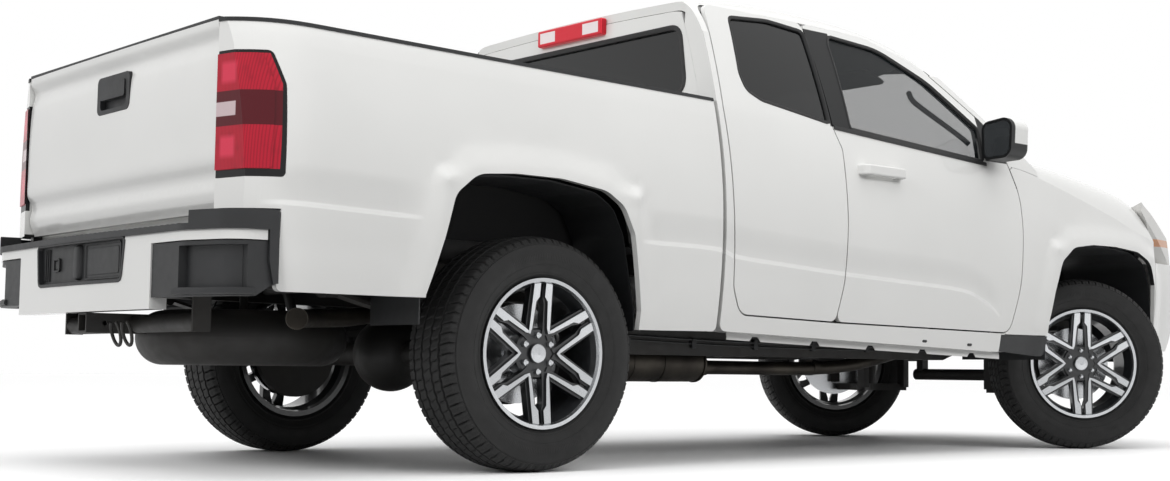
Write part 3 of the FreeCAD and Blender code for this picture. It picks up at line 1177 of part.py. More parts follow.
for post_x in (front_axle_x - 110, front_axle_x + 70):
    arm_post.append(block(post_x, post_x + 40, -front_y - 40, -front_y - 1, UPPER_BALL_Z, UPPER_BALL_Z + 60))
coil = rod((front_axle_x, -500, LOWER_BALL_Z + 18), (front_axle_x, -470, 760), 38)
coil_cap = rod((front_axle_x, -471, 740), (front_axle_x, -469, 780), 72)
coil_post = block(front_axle_x - 60, front_axle_x + 60, -front_y - 60, -front_y - 1, 590, 742)
front_arms = lower_arm.fuse([upper_arm, coil, coil_cap, coil_post] + arm_post)
rack = rod((front_axle_x + 190, -330, 330), (front_axle_x + 190, 330, 330), 28)
rack_posts = [block(front_axle_x + 168, front_axle_x + 212, y, y + 40, 330, rail_z + 45.5) for y in (-310, 270)]
solid_feature("front_suspension", Part.makeCompound([front_arms, left_copy(front_arms), rack.fuse(rack_posts)]))

# Knuckles turn on the kingpin and carry the front wheels
STEER_AT_REST = -37
hub_face_y = size("wheel_plane_y") - 51
HUB_TUBE_END = 36
KNUCKLE_REACH = 7
knuckle_face_y = -kingpin_y - KNUCKLE_REACH


def knuckle_block(half, depth, low, high):
    """A forged block of the knuckle, from its outer face inward."""
    return block(front_axle_x - half, front_axle_x + half, knuckle_face_y, -kingpin_y + depth, low, high)


knuckle_post = knuckle_block(26, 30, LOWER_BALL_Z + 28, UPPER_BALL_Z - 8)
knuckle_low = knuckle_block(24, 44, LOWER_BALL_Z + 24, LOWER_BALL_Z + 64)
knuckle_high = knuckle_block(22, 44, UPPER_BALL_Z - 40, UPPER_BALL_Z - 6)
knuckle_boss = rod((front_axle_x, -kingpin_y + 24, hub_z), (front_axle_x, -hub_face_y, hub_z), 58)
caliper_y = -hub_face_y + 1
caliper = block(front_axle_x - 188, front_axle_x - 120, caliper_y, caliper_y + 54, hub_z - 68, hub_z + 68)
caliper_arm = block(front_axle_x - 150, front_axle_x, caliper_y + 33, caliper_y + 53, hub_z - 30, hub_z + 30)
spindle_end_y = -size("wheel_plane_y") + HUB_TUBE_END + 0.3
spindle = rod((front_axle_x, -kingpin_y, hub_z), (front_axle_x, spindle_end_y, hub_z), 53)
knuckle = knuckle_post.fuse([knuckle_low, knuckle_high, knuckle_boss, caliper, caliper_arm, spindle])

# Wheels: tyre and rim are turned about the axle; made at the origin, outer face towards -Y
tyre_r = size("tyre_radius")
half_tyre = size("tyre_width") / 2
rim_r = size("rim_radius")
RIM_WIDTH_HALF = 112
TREAD_HALF = 104
TYRE_PROFILE = [(rim_r - 14, -RIM_WIDTH_HALF + 14), (rim_r + 1, -RIM_WIDTH_HALF + 8), (rim_r + 40, -half_tyre + 8),
                (rim_r + 74, -half_tyre), (tyre_r - 36, -half_tyre + 7), (tyre_r - 12, -TREAD_HALF - 8),
                (tyre_r - 3, -TREAD_HALF + 12), (tyre_r, -30)]


def turned(profile, axis_start=Vector(0, 0, 0)):
    """A ring turned about the axle from points given as (radius, offset)."""
    points = [Vector(radius, offset, 0) for radius, offset in profile]
    wire = Part.makePolygon(points + [points[0]])
    return Part.Face(wire).revolve(axis_start, Y_AXIS, 360)


outer_points = TYRE_PROFILE + [(radius, -offset) for radius, offset in reversed(TYRE_PROFILE)]
inner_points = [(rim_r - 14, RIM_WIDTH_HALF - 32), (rim_r + 40, half_tyre - 26), (tyre_r - 44, half_tyre - 28),
                (tyre_r - 22, TREAD_HALF - 20), (tyre_r - 22, -TREAD_HALF + 20), (tyre_r - 44, -half_tyre + 28),
                (rim_r + 40, -half_tyre + 26), (rim_r - 14, -RIM_WIDTH_HALF + 32)]
tyre = turned(outer_points + inner_points)

lip_out = -(size("rim_lip_y") - size("wheel_plane_y"))
barrel = [(rim_r, lip_out), (rim_r, lip_out + 9), (rim_r - 15, lip_out + 14), (rim_r - 17, lip_out + 44),
          (rim_r - 28, lip_out + 70), (rim_r - 28, 60), (rim_r - 15, 88), (rim_r - 15, -lip_out - 8),
          (rim_r, -lip_out - 6), (rim_r, -lip_out), (rim_r - 20, -lip_out), (rim_r - 24, 92),
          (rim_r - 36, 62), (rim_r - 36, lip_out + 60), (rim_r - 26, lip_out + 30), (rim_r - 12, lip_out)]
rim_barrel = turned(barrel)
# The spokes' faces lie on a shallow dish from the hub to the lip; dark shoulders lie a step behind them
HUB_RADIUS = 84
FACE_AT_HUB = 28
FACE_AT_LIP = 9
SHOULDER_STEP = 9
SPOKE_BACK_HUB = 66
SPOKE_BACK_LIP = 46
SPOKE_END = rim_r - 17


def dish(step):
    """The space between the dished face, moved in by a step, and the backs of the spokes."""
    return turned([(0, lip_out + FACE_AT_HUB + step), (HUB_RADIUS, lip_out + FACE_AT_HUB + step),
                   (SPOKE_END, lip_out + FACE_AT_LIP + step), (SPOKE_END, lip_out + SPOKE_BACK_LIP),
                   (HUB_RADIUS, lip_out + SPOKE_BACK_HUB), (0, lip_out + SPOKE_BACK_HUB)])


def spoke_prism(outline):
    """An outline in (distance from the hub, distance from the pair's middle line), along the axle."""
    wire = Part.makePolygon([Vector(r, lip_out, across) for r, across in outline + outline[:1]])
    return Part.Face(wire).extrude(Vector(0, SPOKE_BACK_HUB + 10, 0))


# One spoke of a pair: a bright face that widens in a step near the rim, on a broader dark body
SPOKE_FACE = [(240, 11), (240, 37), (74, 42.7), (64, 36.9), (84, 31), (170, 24), (186, 11)]
SPOKE_BODY = [(240, 5), (240, 45), (92, 52), (60, 34.6), (58, 16), (84, 20), (164, 15), (192, 5)]
PAIR_BRIDGE = [(204, -8), (240, -8), (240, 8), (204, 8)]
face_space = dish(0)
body_space = dish(SHOULDER_STEP)
spoke = spoke_prism(SPOKE_FACE).common(face_space).fuse(spoke_prism(SPOKE_BODY).common(body_space))
bridge = spoke_prism(PAIR_BRIDGE).common(dish(2 * SHOULDER_STEP))
pair = spoke.fuse([spoke.mirror(Vector(0, 0, 0), Z_AXIS), bridge])
pairs = []
for pair_index in range(6):
    turned_pair = pair.copy()
    turned_pair.rotate(Vector(0, 0, 0), Y_AXIS, 30 + 60 * pair_index)
    pairs.append(turned_pair)
CAP_RADIUS = 33
hub_disc = turned([(0, lip_out + FACE_AT_HUB - 2), (CAP_RADIUS - 5, lip_out + FACE_AT_HUB),
                   (CAP_RADIUS, lip_out + FACE_AT_HUB + 4), (CAP_RADIUS, lip_out + FACE_AT_HUB + 14),
                   (HUB_RADIUS - 6, lip_out + FACE_AT_HUB + 14), (HUB_RADIUS, lip_out + FACE_AT_HUB + 20),
                   (HUB_RADIUS, lip_out + SPOKE_BACK_HUB), (0, lip_out + SPOKE_BACK_HUB)])
brake_disc = turned([(60, 26), (165, 26), (165, 50), (60, 50)])
hub_tube = turned([(0, lip_out + SPOKE_BACK_HUB - 4), (64, lip_out + SPOKE_BACK_HUB - 4), (64, HUB_TUBE_END),
                   (0, HUB_TUBE_END)])
nuts = []
NUT_RADIUS = 10.5
nut_ring = size("hub_bolt_circle") / 2
for nut_index in range(6):
    nut_angle = math.radians(30 + 60 * nut_index)
    nut_x, nut_z = nut_ring * math.cos(nut_angle), nut_ring * math.sin(nut_angle)
    nuts.append(Part.makeCylinder(NUT_RADIUS, 16, Vector(nut_x, lip_out + FACE_AT_HUB + 1, nut_z), Y_AXIS))
    nuts.append(Part.makeCone(NUT_RADIUS - 5, NUT_RADIUS, 5,
                              Vector(nut_x, lip_out + FACE_AT_HUB - 4, nut_z), Y_AXIS))
rim = rim_barrel.fuse([hub_disc, hub_tube, brake_disc] + pairs + nuts)

WHEELS = [("rear_right", rear_axle_x, -1), ("rear_left", rear_axle_x, 1),
          ("front_right", front_axle_x, -1), ("front_left", front_axle_x, 1)]
for place, axle_x, hand in WHEELS:
    turn = 0 if hand < 0 else 180
    steer = STEER_AT_REST if place.startswith("front") else 0
    for label, shape in (("tyre_" + place, tyre), ("rim_" + place, rim)):
        placed = shape.copy()
        placed.rotate(Vector(0, 0, 0), Z_AXIS, turn)
        placed.translate(Vector(axle_x, hand * size("wheel_plane_y"), hub_z))
        placed.rotate(Vector(axle_x, hand * kingpin_y, 0), Z_AXIS, steer)
        solid_feature(label, placed)

for place, hand in (("right", -1), ("left", 1)):
    placed = knuckle.copy() if hand < 0 else left_copy(knuckle)
    placed.rotate(Vector(front_axle_x, hand * kingpin_y, 0), Z_AXIS, STEER_AT_REST)
    solid_feature("knuckle_" + place, placed)

# Cab furniture: front seats, small rear seats, dashboard and steering wheel
SEAT_Y = 376


def seat(y, x, width, depth, back_height, lean):
    """A cushion and a leaning backrest on a base."""
    base = block(x - depth / 2 + 30, x + depth / 2 - 30, y - width / 2 + 30, y + width / 2 - 30,
                 floor_z + size("cab_floor_thickness") + 0.3, 780)
    cushion = block(x - depth / 2, x + depth / 2, y - width / 2, y + width / 2, 760, 880)
    cushion = cushion.makeFillet(40, cushion.Edges)
    back = block(x - depth / 2 - 50, x - depth / 2 + 70, y - width / 2, y + width / 2, 800, 800 + back_height)
    back = back.makeFillet(40, back.Edges)
    back.rotate(Vector(x - depth / 2, y, 820), Y_AXIS, -lean)
    head = block(x - depth / 2 - 30, x - depth / 2 + 60, y - 130, y + 130, 820 + back_height, 990 + back_height)
    head = head.makeFillet(36, head.Edges)
    head.rotate(Vector(x - depth / 2, y, 820), Y_AXIS, -lean)
    stalk_x = x - depth / 2 + 15
    stalks = [rod((stalk_x, y + shift, 770 + back_height), (stalk_x, y + shift, 850 + back_height), 7)
              for shift in (-60, 60)]
    for stalk in stalks:
        stalk.rotate(Vector(x - depth / 2, y, 820), Y_AXIS, -lean)
    return base.fuse([cushion, back, head] + stalks)


rear_seats = []
for seat_side in (-1, 1):
    bottom = block(-600, -330, seat_side * 380 - 190, seat_side * 380 + 190, 700, 790)
    rest = block(-642, -560, seat_side * 380 - 190, seat_side * 380 + 190, floor_z + 40.3, 1290)
    rear_seats.append(bottom.fuse(rest))
front_seats = [seat(seat_y, 330, 440, 520, 560, 18) for seat_y in (-SEAT_Y, SEAT_Y)]
solid_feature("seats", Part.makeCompound(front_seats + rear_seats))

dash_side = [(firewall_x - 1, 800, 0), (firewall_x - 1, 1180, 0), (1180, 1226, 20), (960, 1236, 60),
             (850, 1160, 60), (880, 980, 60), (960, 860, 40)]
dash = Part.Face(rounded_wire(dash_side, lambda x, z: Vector(x, -floor_y + 10, z))).extrude(
    Vector(0, 2 * floor_y - 20, 0))
console = block(420, 900, -105, 105, floor_z + TUNNEL_TOP + 0.3, 900)
console = console.makeFillet(24, console.Edges)
solid_feature("dashboard", dash.fuse(console))
column_start = Vector(900, SEAT_Y, 1080)
column_end = Vector(720, SEAT_Y, 1130)
wheel_normal = (column_end - column_start).normalize()
column = rod(tuple(column_start), tuple(column_end), 26)
wheel_ring = Part.makeTorus(180, 15, column_end, wheel_normal)
wheel_spokes = rod((column_end.x, SEAT_Y - 176, column_end.z), (column_end.x, SEAT_Y + 176, column_end.z), 13)
solid_feature("steering_wheel", wheel_ring.fuse([column.cut(dash), wheel_spokes]))

doc.recompute()
failed = [obj.Label for obj in doc.Objects if "Invalid" in obj.State or "Error" in obj.State]
if failed:
    raise RuntimeError("objects that did not build: " + ", ".join(failed))
for obj in nodes:
    if obj.Shape.isNull() or not obj.Shape.isValid():
        raise RuntimeError("no valid shape: " + obj.Label)

os.makedirs("parts", exist_ok=True)
for obj in nodes:
    obj.Shape.exportStep("parts/%s.step" % obj.Label)
    print(obj.Label, len(obj.Shape.Solids), round(obj.Shape.Volume / 1e6, 3), "dm3")
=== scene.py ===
import math
import bmesh
import bpy
import numpy as np
from mathutils import Matrix, Vector


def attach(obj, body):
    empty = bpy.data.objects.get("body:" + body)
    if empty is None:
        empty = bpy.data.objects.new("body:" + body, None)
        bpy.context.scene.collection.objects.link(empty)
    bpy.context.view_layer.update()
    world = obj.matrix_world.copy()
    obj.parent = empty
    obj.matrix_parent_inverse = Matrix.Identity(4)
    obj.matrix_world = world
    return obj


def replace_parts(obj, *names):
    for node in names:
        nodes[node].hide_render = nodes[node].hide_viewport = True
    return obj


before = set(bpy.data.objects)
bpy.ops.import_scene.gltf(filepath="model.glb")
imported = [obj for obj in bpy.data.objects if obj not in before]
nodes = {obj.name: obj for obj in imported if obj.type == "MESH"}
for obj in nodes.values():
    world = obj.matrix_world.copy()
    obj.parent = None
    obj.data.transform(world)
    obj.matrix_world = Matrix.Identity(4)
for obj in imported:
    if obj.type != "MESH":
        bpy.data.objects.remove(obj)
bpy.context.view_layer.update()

# The photograph is taken from a few paces behind the right rear wheel, with the camera a hand above
# the floor and tipped up, so the truck towers over it. The shift only centres the photograph's frame.
camera_data = bpy.data.cameras.new("camera")
camera_data.sensor_width = 36.0
camera_data.lens = 50.66
camera_data.shift_x = -0.051
camera_data.clip_start = 0.05
camera = bpy.data.objects.new("camera", camera_data)
bpy.context.scene.collection.objects.link(camera)
camera.location = (-4.8423, -5.1478, 0.3337)
yaw, pitch, roll = 0.842, 0.079, 0.01
forward = Vector((math.cos(yaw) * math.cos(pitch), math.sin(yaw) * math.cos(pitch), math.sin(pitch)))
level_right = forward.cross(Vector((0, 0, 1))).normalized()
level_up = level_right.cross(forward)
camera_right = level_right * math.cos(roll) + level_up * math.sin(roll)
camera_up = level_up * math.cos(roll) - level_right * math.sin(roll)
camera.rotation_euler = Matrix((camera_right, camera_up, -forward)).transposed().to_euler()
bpy.context.scene.camera = camera


def linear(hex_colour):
    """An sRGB colour such as "c81a20" as the linear colour that the shader nodes take."""
    channels = [int(hex_colour[i:i + 2], 16) / 255 for i in (0, 2, 4)]
    return tuple(c / 12.92 if c <= 0.04045 else ((c + 0.055) / 1.055) ** 2.4 for c in channels) + (1.0,)


def add(material, kind, inputs=None, **properties):
    """One shader node with its properties, its socket values, its hex colours and its links. A link comes from a
    socket, or from a node, which stands for its first output."""
    node = material.node_tree.nodes.new("ShaderNode" + kind)
    for name, value in properties.items():
        setattr(node, name, value)
    for key, value in (inputs or {}).items():
        value = value.outputs[0] if isinstance(value, bpy.types.Node) else value
        if isinstance(value, bpy.types.NodeSocket):
            material.node_tree.links.new(value, node.inputs[key])
        else:
            node.inputs[key].default_value = linear(value) if isinstance(value, str) else value
    return node


def new_material(name):
    material = bpy.data.materials.new(name)
    material.use_nodes = True
    material.node_tree.nodes.clear()
    return material


def surface(material, **sockets):
    """The shader of a material: its sockets are named with underscores for spaces."""
    shader = add(material, "BsdfPrincipled", {key.replace("_", " "): value for key, value in sockets.items()})
    add(material, "OutputMaterial", {"Surface": shader})


def over(material, base, *layers):
    """A colour or a number with others laid over it, each given as (where, value)."""
    for where, value in layers:
        if any(isinstance(one, str) or getattr(one, "type", "") == "RGBA" for one in (base, value)):
            base = add(material, "Mix", {0: where, 6: base, 7: value}, data_type="RGBA").outputs[2]
        else:
            base = add(material, "Mix", {0: where, 2: base, 3: value}, data_type="FLOAT")
    return base


def drift(material, patch, first, second, spread=None, detail=3.0):
    """A colour or a number that drifts between two values, in patches so many millimetres across."""
    low, high = spread or ((0.3, 0.7) if isinstance(first, str) else (0.0, 1.0))
    place = add(material, "TexCoord").outputs["Object"]
    cloud = add(material, "TexNoise", {"Vector": place, "Scale": 1000 / patch, "Detail": detail}).outputs["Fac"]
    share = add(material, "MapRange", {"Value": cloud, "From Min": low, "From Max": high})
    return over(material, first, (share, second))


def grained(material, grain, depth, strength, detail=3.0, under=None):
    """The normal of a skin whose grain is so many millimetres wide and deep, on top of another normal."""
    place = add(material, "TexCoord").outputs["Object"]
    cloud = add(material, "TexNoise", {"Vector": place, "Scale": 1000 / grain, "Detail": detail}).outputs["Fac"]
    inputs = {"Height": cloud, "Strength": strength, "Distance": depth / 1000}
    return add(material, "Bump", inputs if under is None else inputs | {"Normal": under})


def zone(material, *limits, soft=0.0015):
    """1 inside every limit and 0 elsewhere: a limit is (value, low, high), None for an open side, or a zone."""
    inside = 1.0
    for limit in limits:
        steps = [limit]
        if isinstance(limit, tuple):
            value, low, high = limit
            steps = [add(material, "MapRange", {"Value": value, "From Min": edge - soft, "From Max": edge + soft,
                                                "To Min": start, "To Max": 1.0 - start})
                     for edge, start in ((low, 0.0), (high, 1.0)) if edge is not None]
        for step in steps:
            inside = add(material, "Math", {0: inside, 1: step}, operation="MULTIPLY")
    return inside


def either(material, *zones):
    """The largest of several zones or numbers."""
    result = zones[0]
    for one in zones[1:]:
        result = add(material, "Math", {0: result, 1: one}, operation="MAXIMUM")
    return result


def curve_of(material, value, pairs):
    """A number read off a smooth line through (input, output) pairs."""
    low, high = pairs[0][0], pairs[-1][0]
    bottom, top = min(y for x, y in pairs), max(y for x, y in pairs)
    share = add(material, "MapRange", {"Value": value, "From Min": low, "From Max": high})
    curve = add(material, "FloatCurve", {"Value": share})
    points = curve.mapping.curves[0].points
    for x, y in pairs[1:-1]:
        points.new((x - low) / (high - low), (y - bottom) / (top - bottom))
    points[0].location = (0, (pairs[0][1] - bottom) / (top - bottom))
    points[-1].location = (1, (pairs[-1][1] - bottom) / (top - bottom))
    curve.mapping.update()
    return add(material, "MapRange", {"Value": curve, "To Min": bottom, "To Max": top})


def place_parts(material):
    """The station, the distance from the middle plane and the height of a point."""
    place = add(material, "TexCoord").outputs["Object"]
    x, y, z = add(material, "SeparateXYZ", {"Vector": place}).outputs
    return x, add(material, "Math", {0: y}, operation="ABSOLUTE"), z


AHEAD, OUTWARD, DOWN = 0, 1, 2


def facing(material):
    """How far a face looks ahead, away from the middle plane, and down."""
    y = add(material, "SeparateXYZ", {"Vector": add(material, "TexCoord").outputs["Object"]}).outputs[1]
    normal = add(material, "SeparateXYZ", {"Vector": add(material, "NewGeometry").outputs["True Normal"]}).outputs
    hand = add(material, "Math", {0: y}, operation="SIGN")
    outward = add(material, "Math", {0: hand, 1: normal[1]}, operation="MULTIPLY")
    return normal[0], outward, add(material, "Math", {0: normal[2], 1: -1.0}, operation="MULTIPLY")


CREASE_LINE = [(-2.46, 0.812), (-2.05, 0.8), (-1.1, 0.779), (-0.72, 0.773), (-0.626, 0.752), (-0.305, 0.731),
               (-0.03, 0.716), (0.283, 0.703), (0.7, 0.683), (0.849, 0.647), (0.98, 0.585)]
CREASE_DEPTH = 0.01
SCOOP_HEIGHT = 0.12


def crease_normal(material):
    """The stamped crease, with the lacquer's waviness of about 4 mm on top of it."""
    x, side, z = place_parts(material)
    line = curve_of(material, x, CREASE_LINE)
    above = add(material, "Math", {0: z, 1: line}, operation="SUBTRACT")
    scoop, ledge = [add(material, "MapRange", {"Value": above, "From Min": low, "From Max": high, "To Min": start,
                                               "To Max": end}, interpolation_type="SMOOTHSTEP")
                    for low, high, start, end in ((0.008, SCOOP_HEIGHT, -CREASE_DEPTH, 0.0),
                                                  (-0.01, 0.008, 0.0, -CREASE_DEPTH))]
    behind_wheel, doors = zone(material, (x, -2.47, -2.03), soft=0.05), zone(material, (x, -1.05, 0.95), soft=0.05)
    crease = add(material, "Math", {0: either(material, scoop, ledge), 1: either(material, doors, behind_wheel)},
                 operation="MULTIPLY")
    pressed = add(material, "Bump", {"Height": crease, "Strength": 1.0, "Distance": 1.0})
    return grained(material, 3.85, 2.0, 0.012, 1.0, pressed)


def body_paint(name, zones=lambda material: ()):
    """White lacquer, with unpainted zones given as (where, colour, roughness), each over the ones before it."""
    material = new_material(name)
    colour = drift(material, 625, "dcdcda", "e0e0de", (0.35, 0.65))
    roughness, coat = 0.36, 0.8
    for where, tone, rough in zones(material):
        colour = over(material, colour, (where, tone))
        roughness = over(material, roughness, (where, rough))
        coat = over(material, coat, (where, 0.0))
    normal = crease_normal(material)
    surface(material, Base_Color=colour, Roughness=roughness, Specular_IOR_Level=0.35, Normal=normal,
            Coat_Weight=coat, Coat_Roughness=0.03, Coat_Normal=normal)
    return material


def inside_arch(material):
    """Inside the rear wheel arch the box wall is coated black against stones; so is what looks down."""
    x, side, z = place_parts(material)
    ahead, outward, down = facing(material)
    looks_out = either(material, zone(material, (outward, 0.05, None)), zone(material, (down, 0.2, None)))
    well = zone(material, (x, -2.08, -0.88), (z, None, 1.06), (side, None, 0.79), looks_out)
    under = zone(material, (down, 0.7, None), (side, None, 0.84))
    inner = zone(material, (outward, None, -0.5), (z, None, 0.8))
    return [(either(material, well, under, inner), "0f0f10", 0.75)]


def coated(colour, roughness, *limits):
    """Zones of body_paint for what looks AHEAD, OUTWARD or DOWN within any of the limits (way, low, high)."""
    def zones(material):
        looks = facing(material)
        return [(either(material, *[zone(material, (looks[way], low, high)) for way, low, high in limits]),
                 colour, roughness)]
    return zones


def paint_nodes(material, *names):
    """Gives CAD nodes a material."""
    for name in names:
        slots = nodes[name].data.materials
        slots.clear()
        slots.append(material)


white = body_paint("white_lacquer")
paint_nodes(white, "hood", "front_bumper", "tailgate", "rear_bumper")
cab_trim = coated("2e2f31", 0.65, (OUTWARD, None, -0.25))
woven_headliner = coated("73726f", 0.9, (DOWN, 0.2, None))
carpet = coated("2e2f31", 0.8, (AHEAD, 0.4, None))
stone_guard = coated("121213", 0.7, (DOWN, 0.3, None), (OUTWARD, None, -0.3))
for node_name, coat in (("bedsides", inside_arch), ("cab_sides", cab_trim), ("roof", woven_headliner),
                        ("cab_back", carpet), ("front_fenders", stone_guard), ("box_floor", stone_guard)):
    paint_nodes(body_paint("white_" + node_name, coat), node_name)

# Exterior trim: injection-moulded black plastic with a leather-like grain about a millimetre wide that
# scatters the light, a little greyer where sun and dust have reached it.
black_plastic = new_material("grained_black_plastic")
surface(black_plastic, Base_Color=drift(black_plastic, 143, "141516", "1c1d1f"),
        Roughness=drift(black_plastic, 33, 0.46, 0.62), Normal=grained(black_plastic, 1.1, 0.6, 0.25, 2.0))
paint_nodes(black_plastic, "box_rail_caps", "rear_bumper_pads", "wheel_liners", "cowl", "tailgate_trim",
            "grille", "cab_floor")

# Rear bumper fittings: the licence plate's pocket is one black moulding with a lamp post in its middle, a blank
# plate seat on one side and the trailer socket on the other. The step pad carries rows of grip teeth, and each
# corner insert has a ledge under its foot hole.
BUMPER_FACE_X = -2.6899
PAD_BACK_X = -2.6969
BUMPER_FLAT = 0.118
BUMPER_SLOPE = 0.0393
POCKET_FLOOR_X = -2.6642


def make_piece(name, mesh, material, body):
    """A new piece of the truck that rides on a body and takes its finish from a slot."""
    piece = bpy.data.objects.new(name, mesh)
    bpy.context.scene.collection.objects.link(piece)
    mesh.materials.append(material)
    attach(piece, body)
    return piece


def mesh_from(name, points, faces, smooth_angle=35):
    """A mesh with doubled points joined, its faces turned outward and its steep edges kept sharp."""
    mesh = bpy.data.meshes.new(name)
    mesh.from_pydata([tuple(p) for p in points], [], faces)
    shell = bmesh.new()
    shell.from_mesh(mesh)
    bmesh.ops.remove_doubles(shell, verts=shell.verts, dist=0.00002)
    bmesh.ops.recalc_face_normals(shell, faces=shell.faces)
    shell.to_mesh(mesh)
    shell.free()
    mesh.shade_smooth()
    mesh.set_sharp_from_angle(angle=math.radians(smooth_angle))
    return mesh


def join(name, meshes, smooth_angle=35):
    """Several meshes as one."""
    points, faces = [], []
    for mesh in meshes:
        start = len(points)
        points += [vertex.co.copy() for vertex in mesh.vertices]
        faces += [tuple(start + index for index in face.vertices) for face in mesh.polygons]
    return mesh_from(name, points, faces, smooth_angle)


def rounded(corners, step=0.012, longest=0.04):
    """Points along a closed outline of (a, b, radius) corners, each corner rounded."""
    line = []
    for index, (a, b, radius) in enumerate(corners):
        here = Vector((a, b))
        back = Vector(corners[index - 1][:2]) - here
        out = Vector(corners[(index + 1) % len(corners)][:2]) - here
        half = back.angle(out) / 2
        cut = min(radius / math.tan(half), 0.49 * back.length, 0.49 * out.length)
        start, end = here + back.normalized() * cut, here + out.normalized() * cut
        count = max(1, int((math.pi - 2 * half) * cut * math.tan(half) / step))
        for part in range(count + 1):
            t = part / count
            line.append(start * (1 - t) ** 2 + here * 2 * t * (1 - t) + end * t * t)
    dense = []
    for index, point in enumerate(line):
        following = line[(index + 1) % len(line)]
        count = max(1, int((following - point).length / longest))
        dense += [point.lerp(following, part / count) for part in range(count)]
    return [point for index, point in enumerate(dense) if (point - dense[index - 1]).length > 0.0004]


def box_outline(low_a, low_b, high_a, high_b, radius):
    corners = ((low_a, low_b), (high_a, low_b), (high_a, high_b), (low_a, high_b))
    return rounded([(a, b, radius) for a, b in corners])


def swept(name, line, profile, place, closed=True, capped=False):
    """A profile of (inward, outward) offsets swept along a line that place puts in space. The profile is a loop,
    unless it is capped: then faces across the line's whole outline close both of its ends."""
    points, faces = [], []
    count, width = len(line), len(profile)
    for index, point in enumerate(line):
        before = line[index - 1] if closed or index else line[0]
        after = line[(index + 1) % count] if closed or index < count - 1 else line[-1]
        heading = (after - before).normalized()
        for across, out in profile:
            moved = point + Vector((-heading.y, heading.x)) * across
            points.append(place(moved.x, moved.y, out))
    for index in range(count if closed else count - 1):
        here, ahead = index * width, (index + 1) % count * width
        for part in range(width - 1 if capped else width):
            beside = (part + 1) % width
            faces.append((here + part, here + beside, ahead + beside, ahead + part))
    if capped:
        faces += [tuple(range(first, count * width, width)) for first in (0, width - 1)]
    if not closed:
        faces += [tuple(range(width)), tuple(range((count - 1) * width, count * width))[::-1]]
    return mesh_from(name, points, faces, 35 if capped else 50)


def moulding(name, line, steps, place):
    """A moulded cover: its outline is stepped up and inward, and both ends are closed."""
    return swept(name, line, steps, place, capped=True)


def bumper_bow(y):
    """How far the bumper has curved forward in plan."""
    return BUMPER_SLOPE * max(0.0, abs(y) - BUMPER_FLAT)


def on_bumper(y, z, out):
    """A place on the bumper's rear face, bowed in plan."""
    return Vector((BUMPER_FACE_X + bumper_bow(y) - out, y, z))


def in_pocket(y, z, out):
    """A place on the flat bottom of the licence plate's pocket."""
    return Vector((POCKET_FLOOR_X - out, y, z))


pocket_line = rounded([(-0.318, 0.596, 0.018), (0.318, 0.596, 0.018), (0.336, 0.727, 0.01), (-0.336, 0.727, 0.01)])
pocket_rim = [(0.004, -0.022), (-0.0028, -0.022), (-0.0028, 0.0002), (-0.007, 0.0002), (-0.006, 0.003),
              (0.002, 0.0034), (0.004, 0.001)]
pocket_parts = [
    moulding("pocket_floor", pocket_line, [(0.0, 0.0), (0.0, 0.003), (0.0005, 0.003)], in_pocket),
    swept("pocket_rim", pocket_line, pocket_rim, on_bumper),
    swept("plate_seat_rim", box_outline(-0.288, 0.604, -0.02, 0.722, 0.01),
          [(0.0, 0.002), (0.001, 0.0068), (0.006, 0.0072), (0.009, 0.002)], in_pocket),
    moulding("plate_seat", box_outline(-0.27, 0.62, -0.038, 0.706, 0.006),
             [(0.0, 0.002), (0.0, 0.0042), (0.0012, 0.0052), (0.002, 0.0052)], in_pocket),
    moulding("lamp_post", box_outline(0.004, 0.606, 0.05, 0.722, 0.018),
             [(0.0, 0.002), (0.002, 0.013), (0.006, 0.0175), (0.012, 0.019)], in_pocket),
    swept("socket_rim", box_outline(0.176, 0.64, 0.224, 0.684, 0.006),
          [(0.0, 0.002), (0.0, 0.01), (0.005, 0.01), (0.006, 0.002)], in_pocket),
    moulding("socket_flap", box_outline(0.185, 0.649, 0.215, 0.675, 0.004),
             [(0.0, 0.002), (0.0, 0.0055), (0.002, 0.0065)], in_pocket)]
for rib_y in (0.262, 0.278, 0.294):
    pocket_parts.append(moulding("rib", box_outline(rib_y, 0.61, rib_y + 0.004, 0.716, 0.0015),
                                 [(0.0, 0.002), (0.0, 0.007), (0.001, 0.0075)], in_pocket))
make_piece("licence_pocket", join("licence_pocket", pocket_parts), black_plastic, "root")

PAD_TOP = 0.748
TOOTH_PITCH = 0.0333
teeth = []
for tooth_y in np.arange(-20, 21) * TOOTH_PITCH:
    def on_pad(along, across, out, tooth_y=tooth_y):
        return Vector((PAD_BACK_X + bumper_bow(tooth_y) + across, tooth_y + along, PAD_TOP + out))

    teeth.append(moulding("tooth", box_outline(-0.011, 0.004, 0.011, 0.07, 0.004),
                          [(0.0, -0.0015), (0.0005, 0.0016), (0.002, 0.0022)], on_pad))
make_piece("step_teeth", join("step_teeth", teeth), black_plastic, "root")

SIDES = (("right", -1), ("left", 1))
LEDGE_HEIGHT = 0.5435
ledge_edge = [Vector(corner) for corner in ((-2.54, 0.8935), (-2.57, 0.886), (-2.598, 0.866), (-2.618, 0.825),
                                            (-2.64, 0.756), (-2.658, 0.69), (-2.664, 0.645))]
ledge_profile = [(-0.01, 0.000), (-0.01, 0.01), (-0.006, 0.0165), (0.012, 0.018), (0.012, -0.003), (-0.004, -0.004)]
for side_name, hand in SIDES:
    def under_foot_hole(x, y, out, hand=hand):
        return Vector((x, hand * y, LEDGE_HEIGHT + out))

    ledge = swept("step_ledge", ledge_edge, ledge_profile, under_foot_hole, closed=False)
    make_piece("step_ledge_" + side_name, ledge, black_plastic, "root")

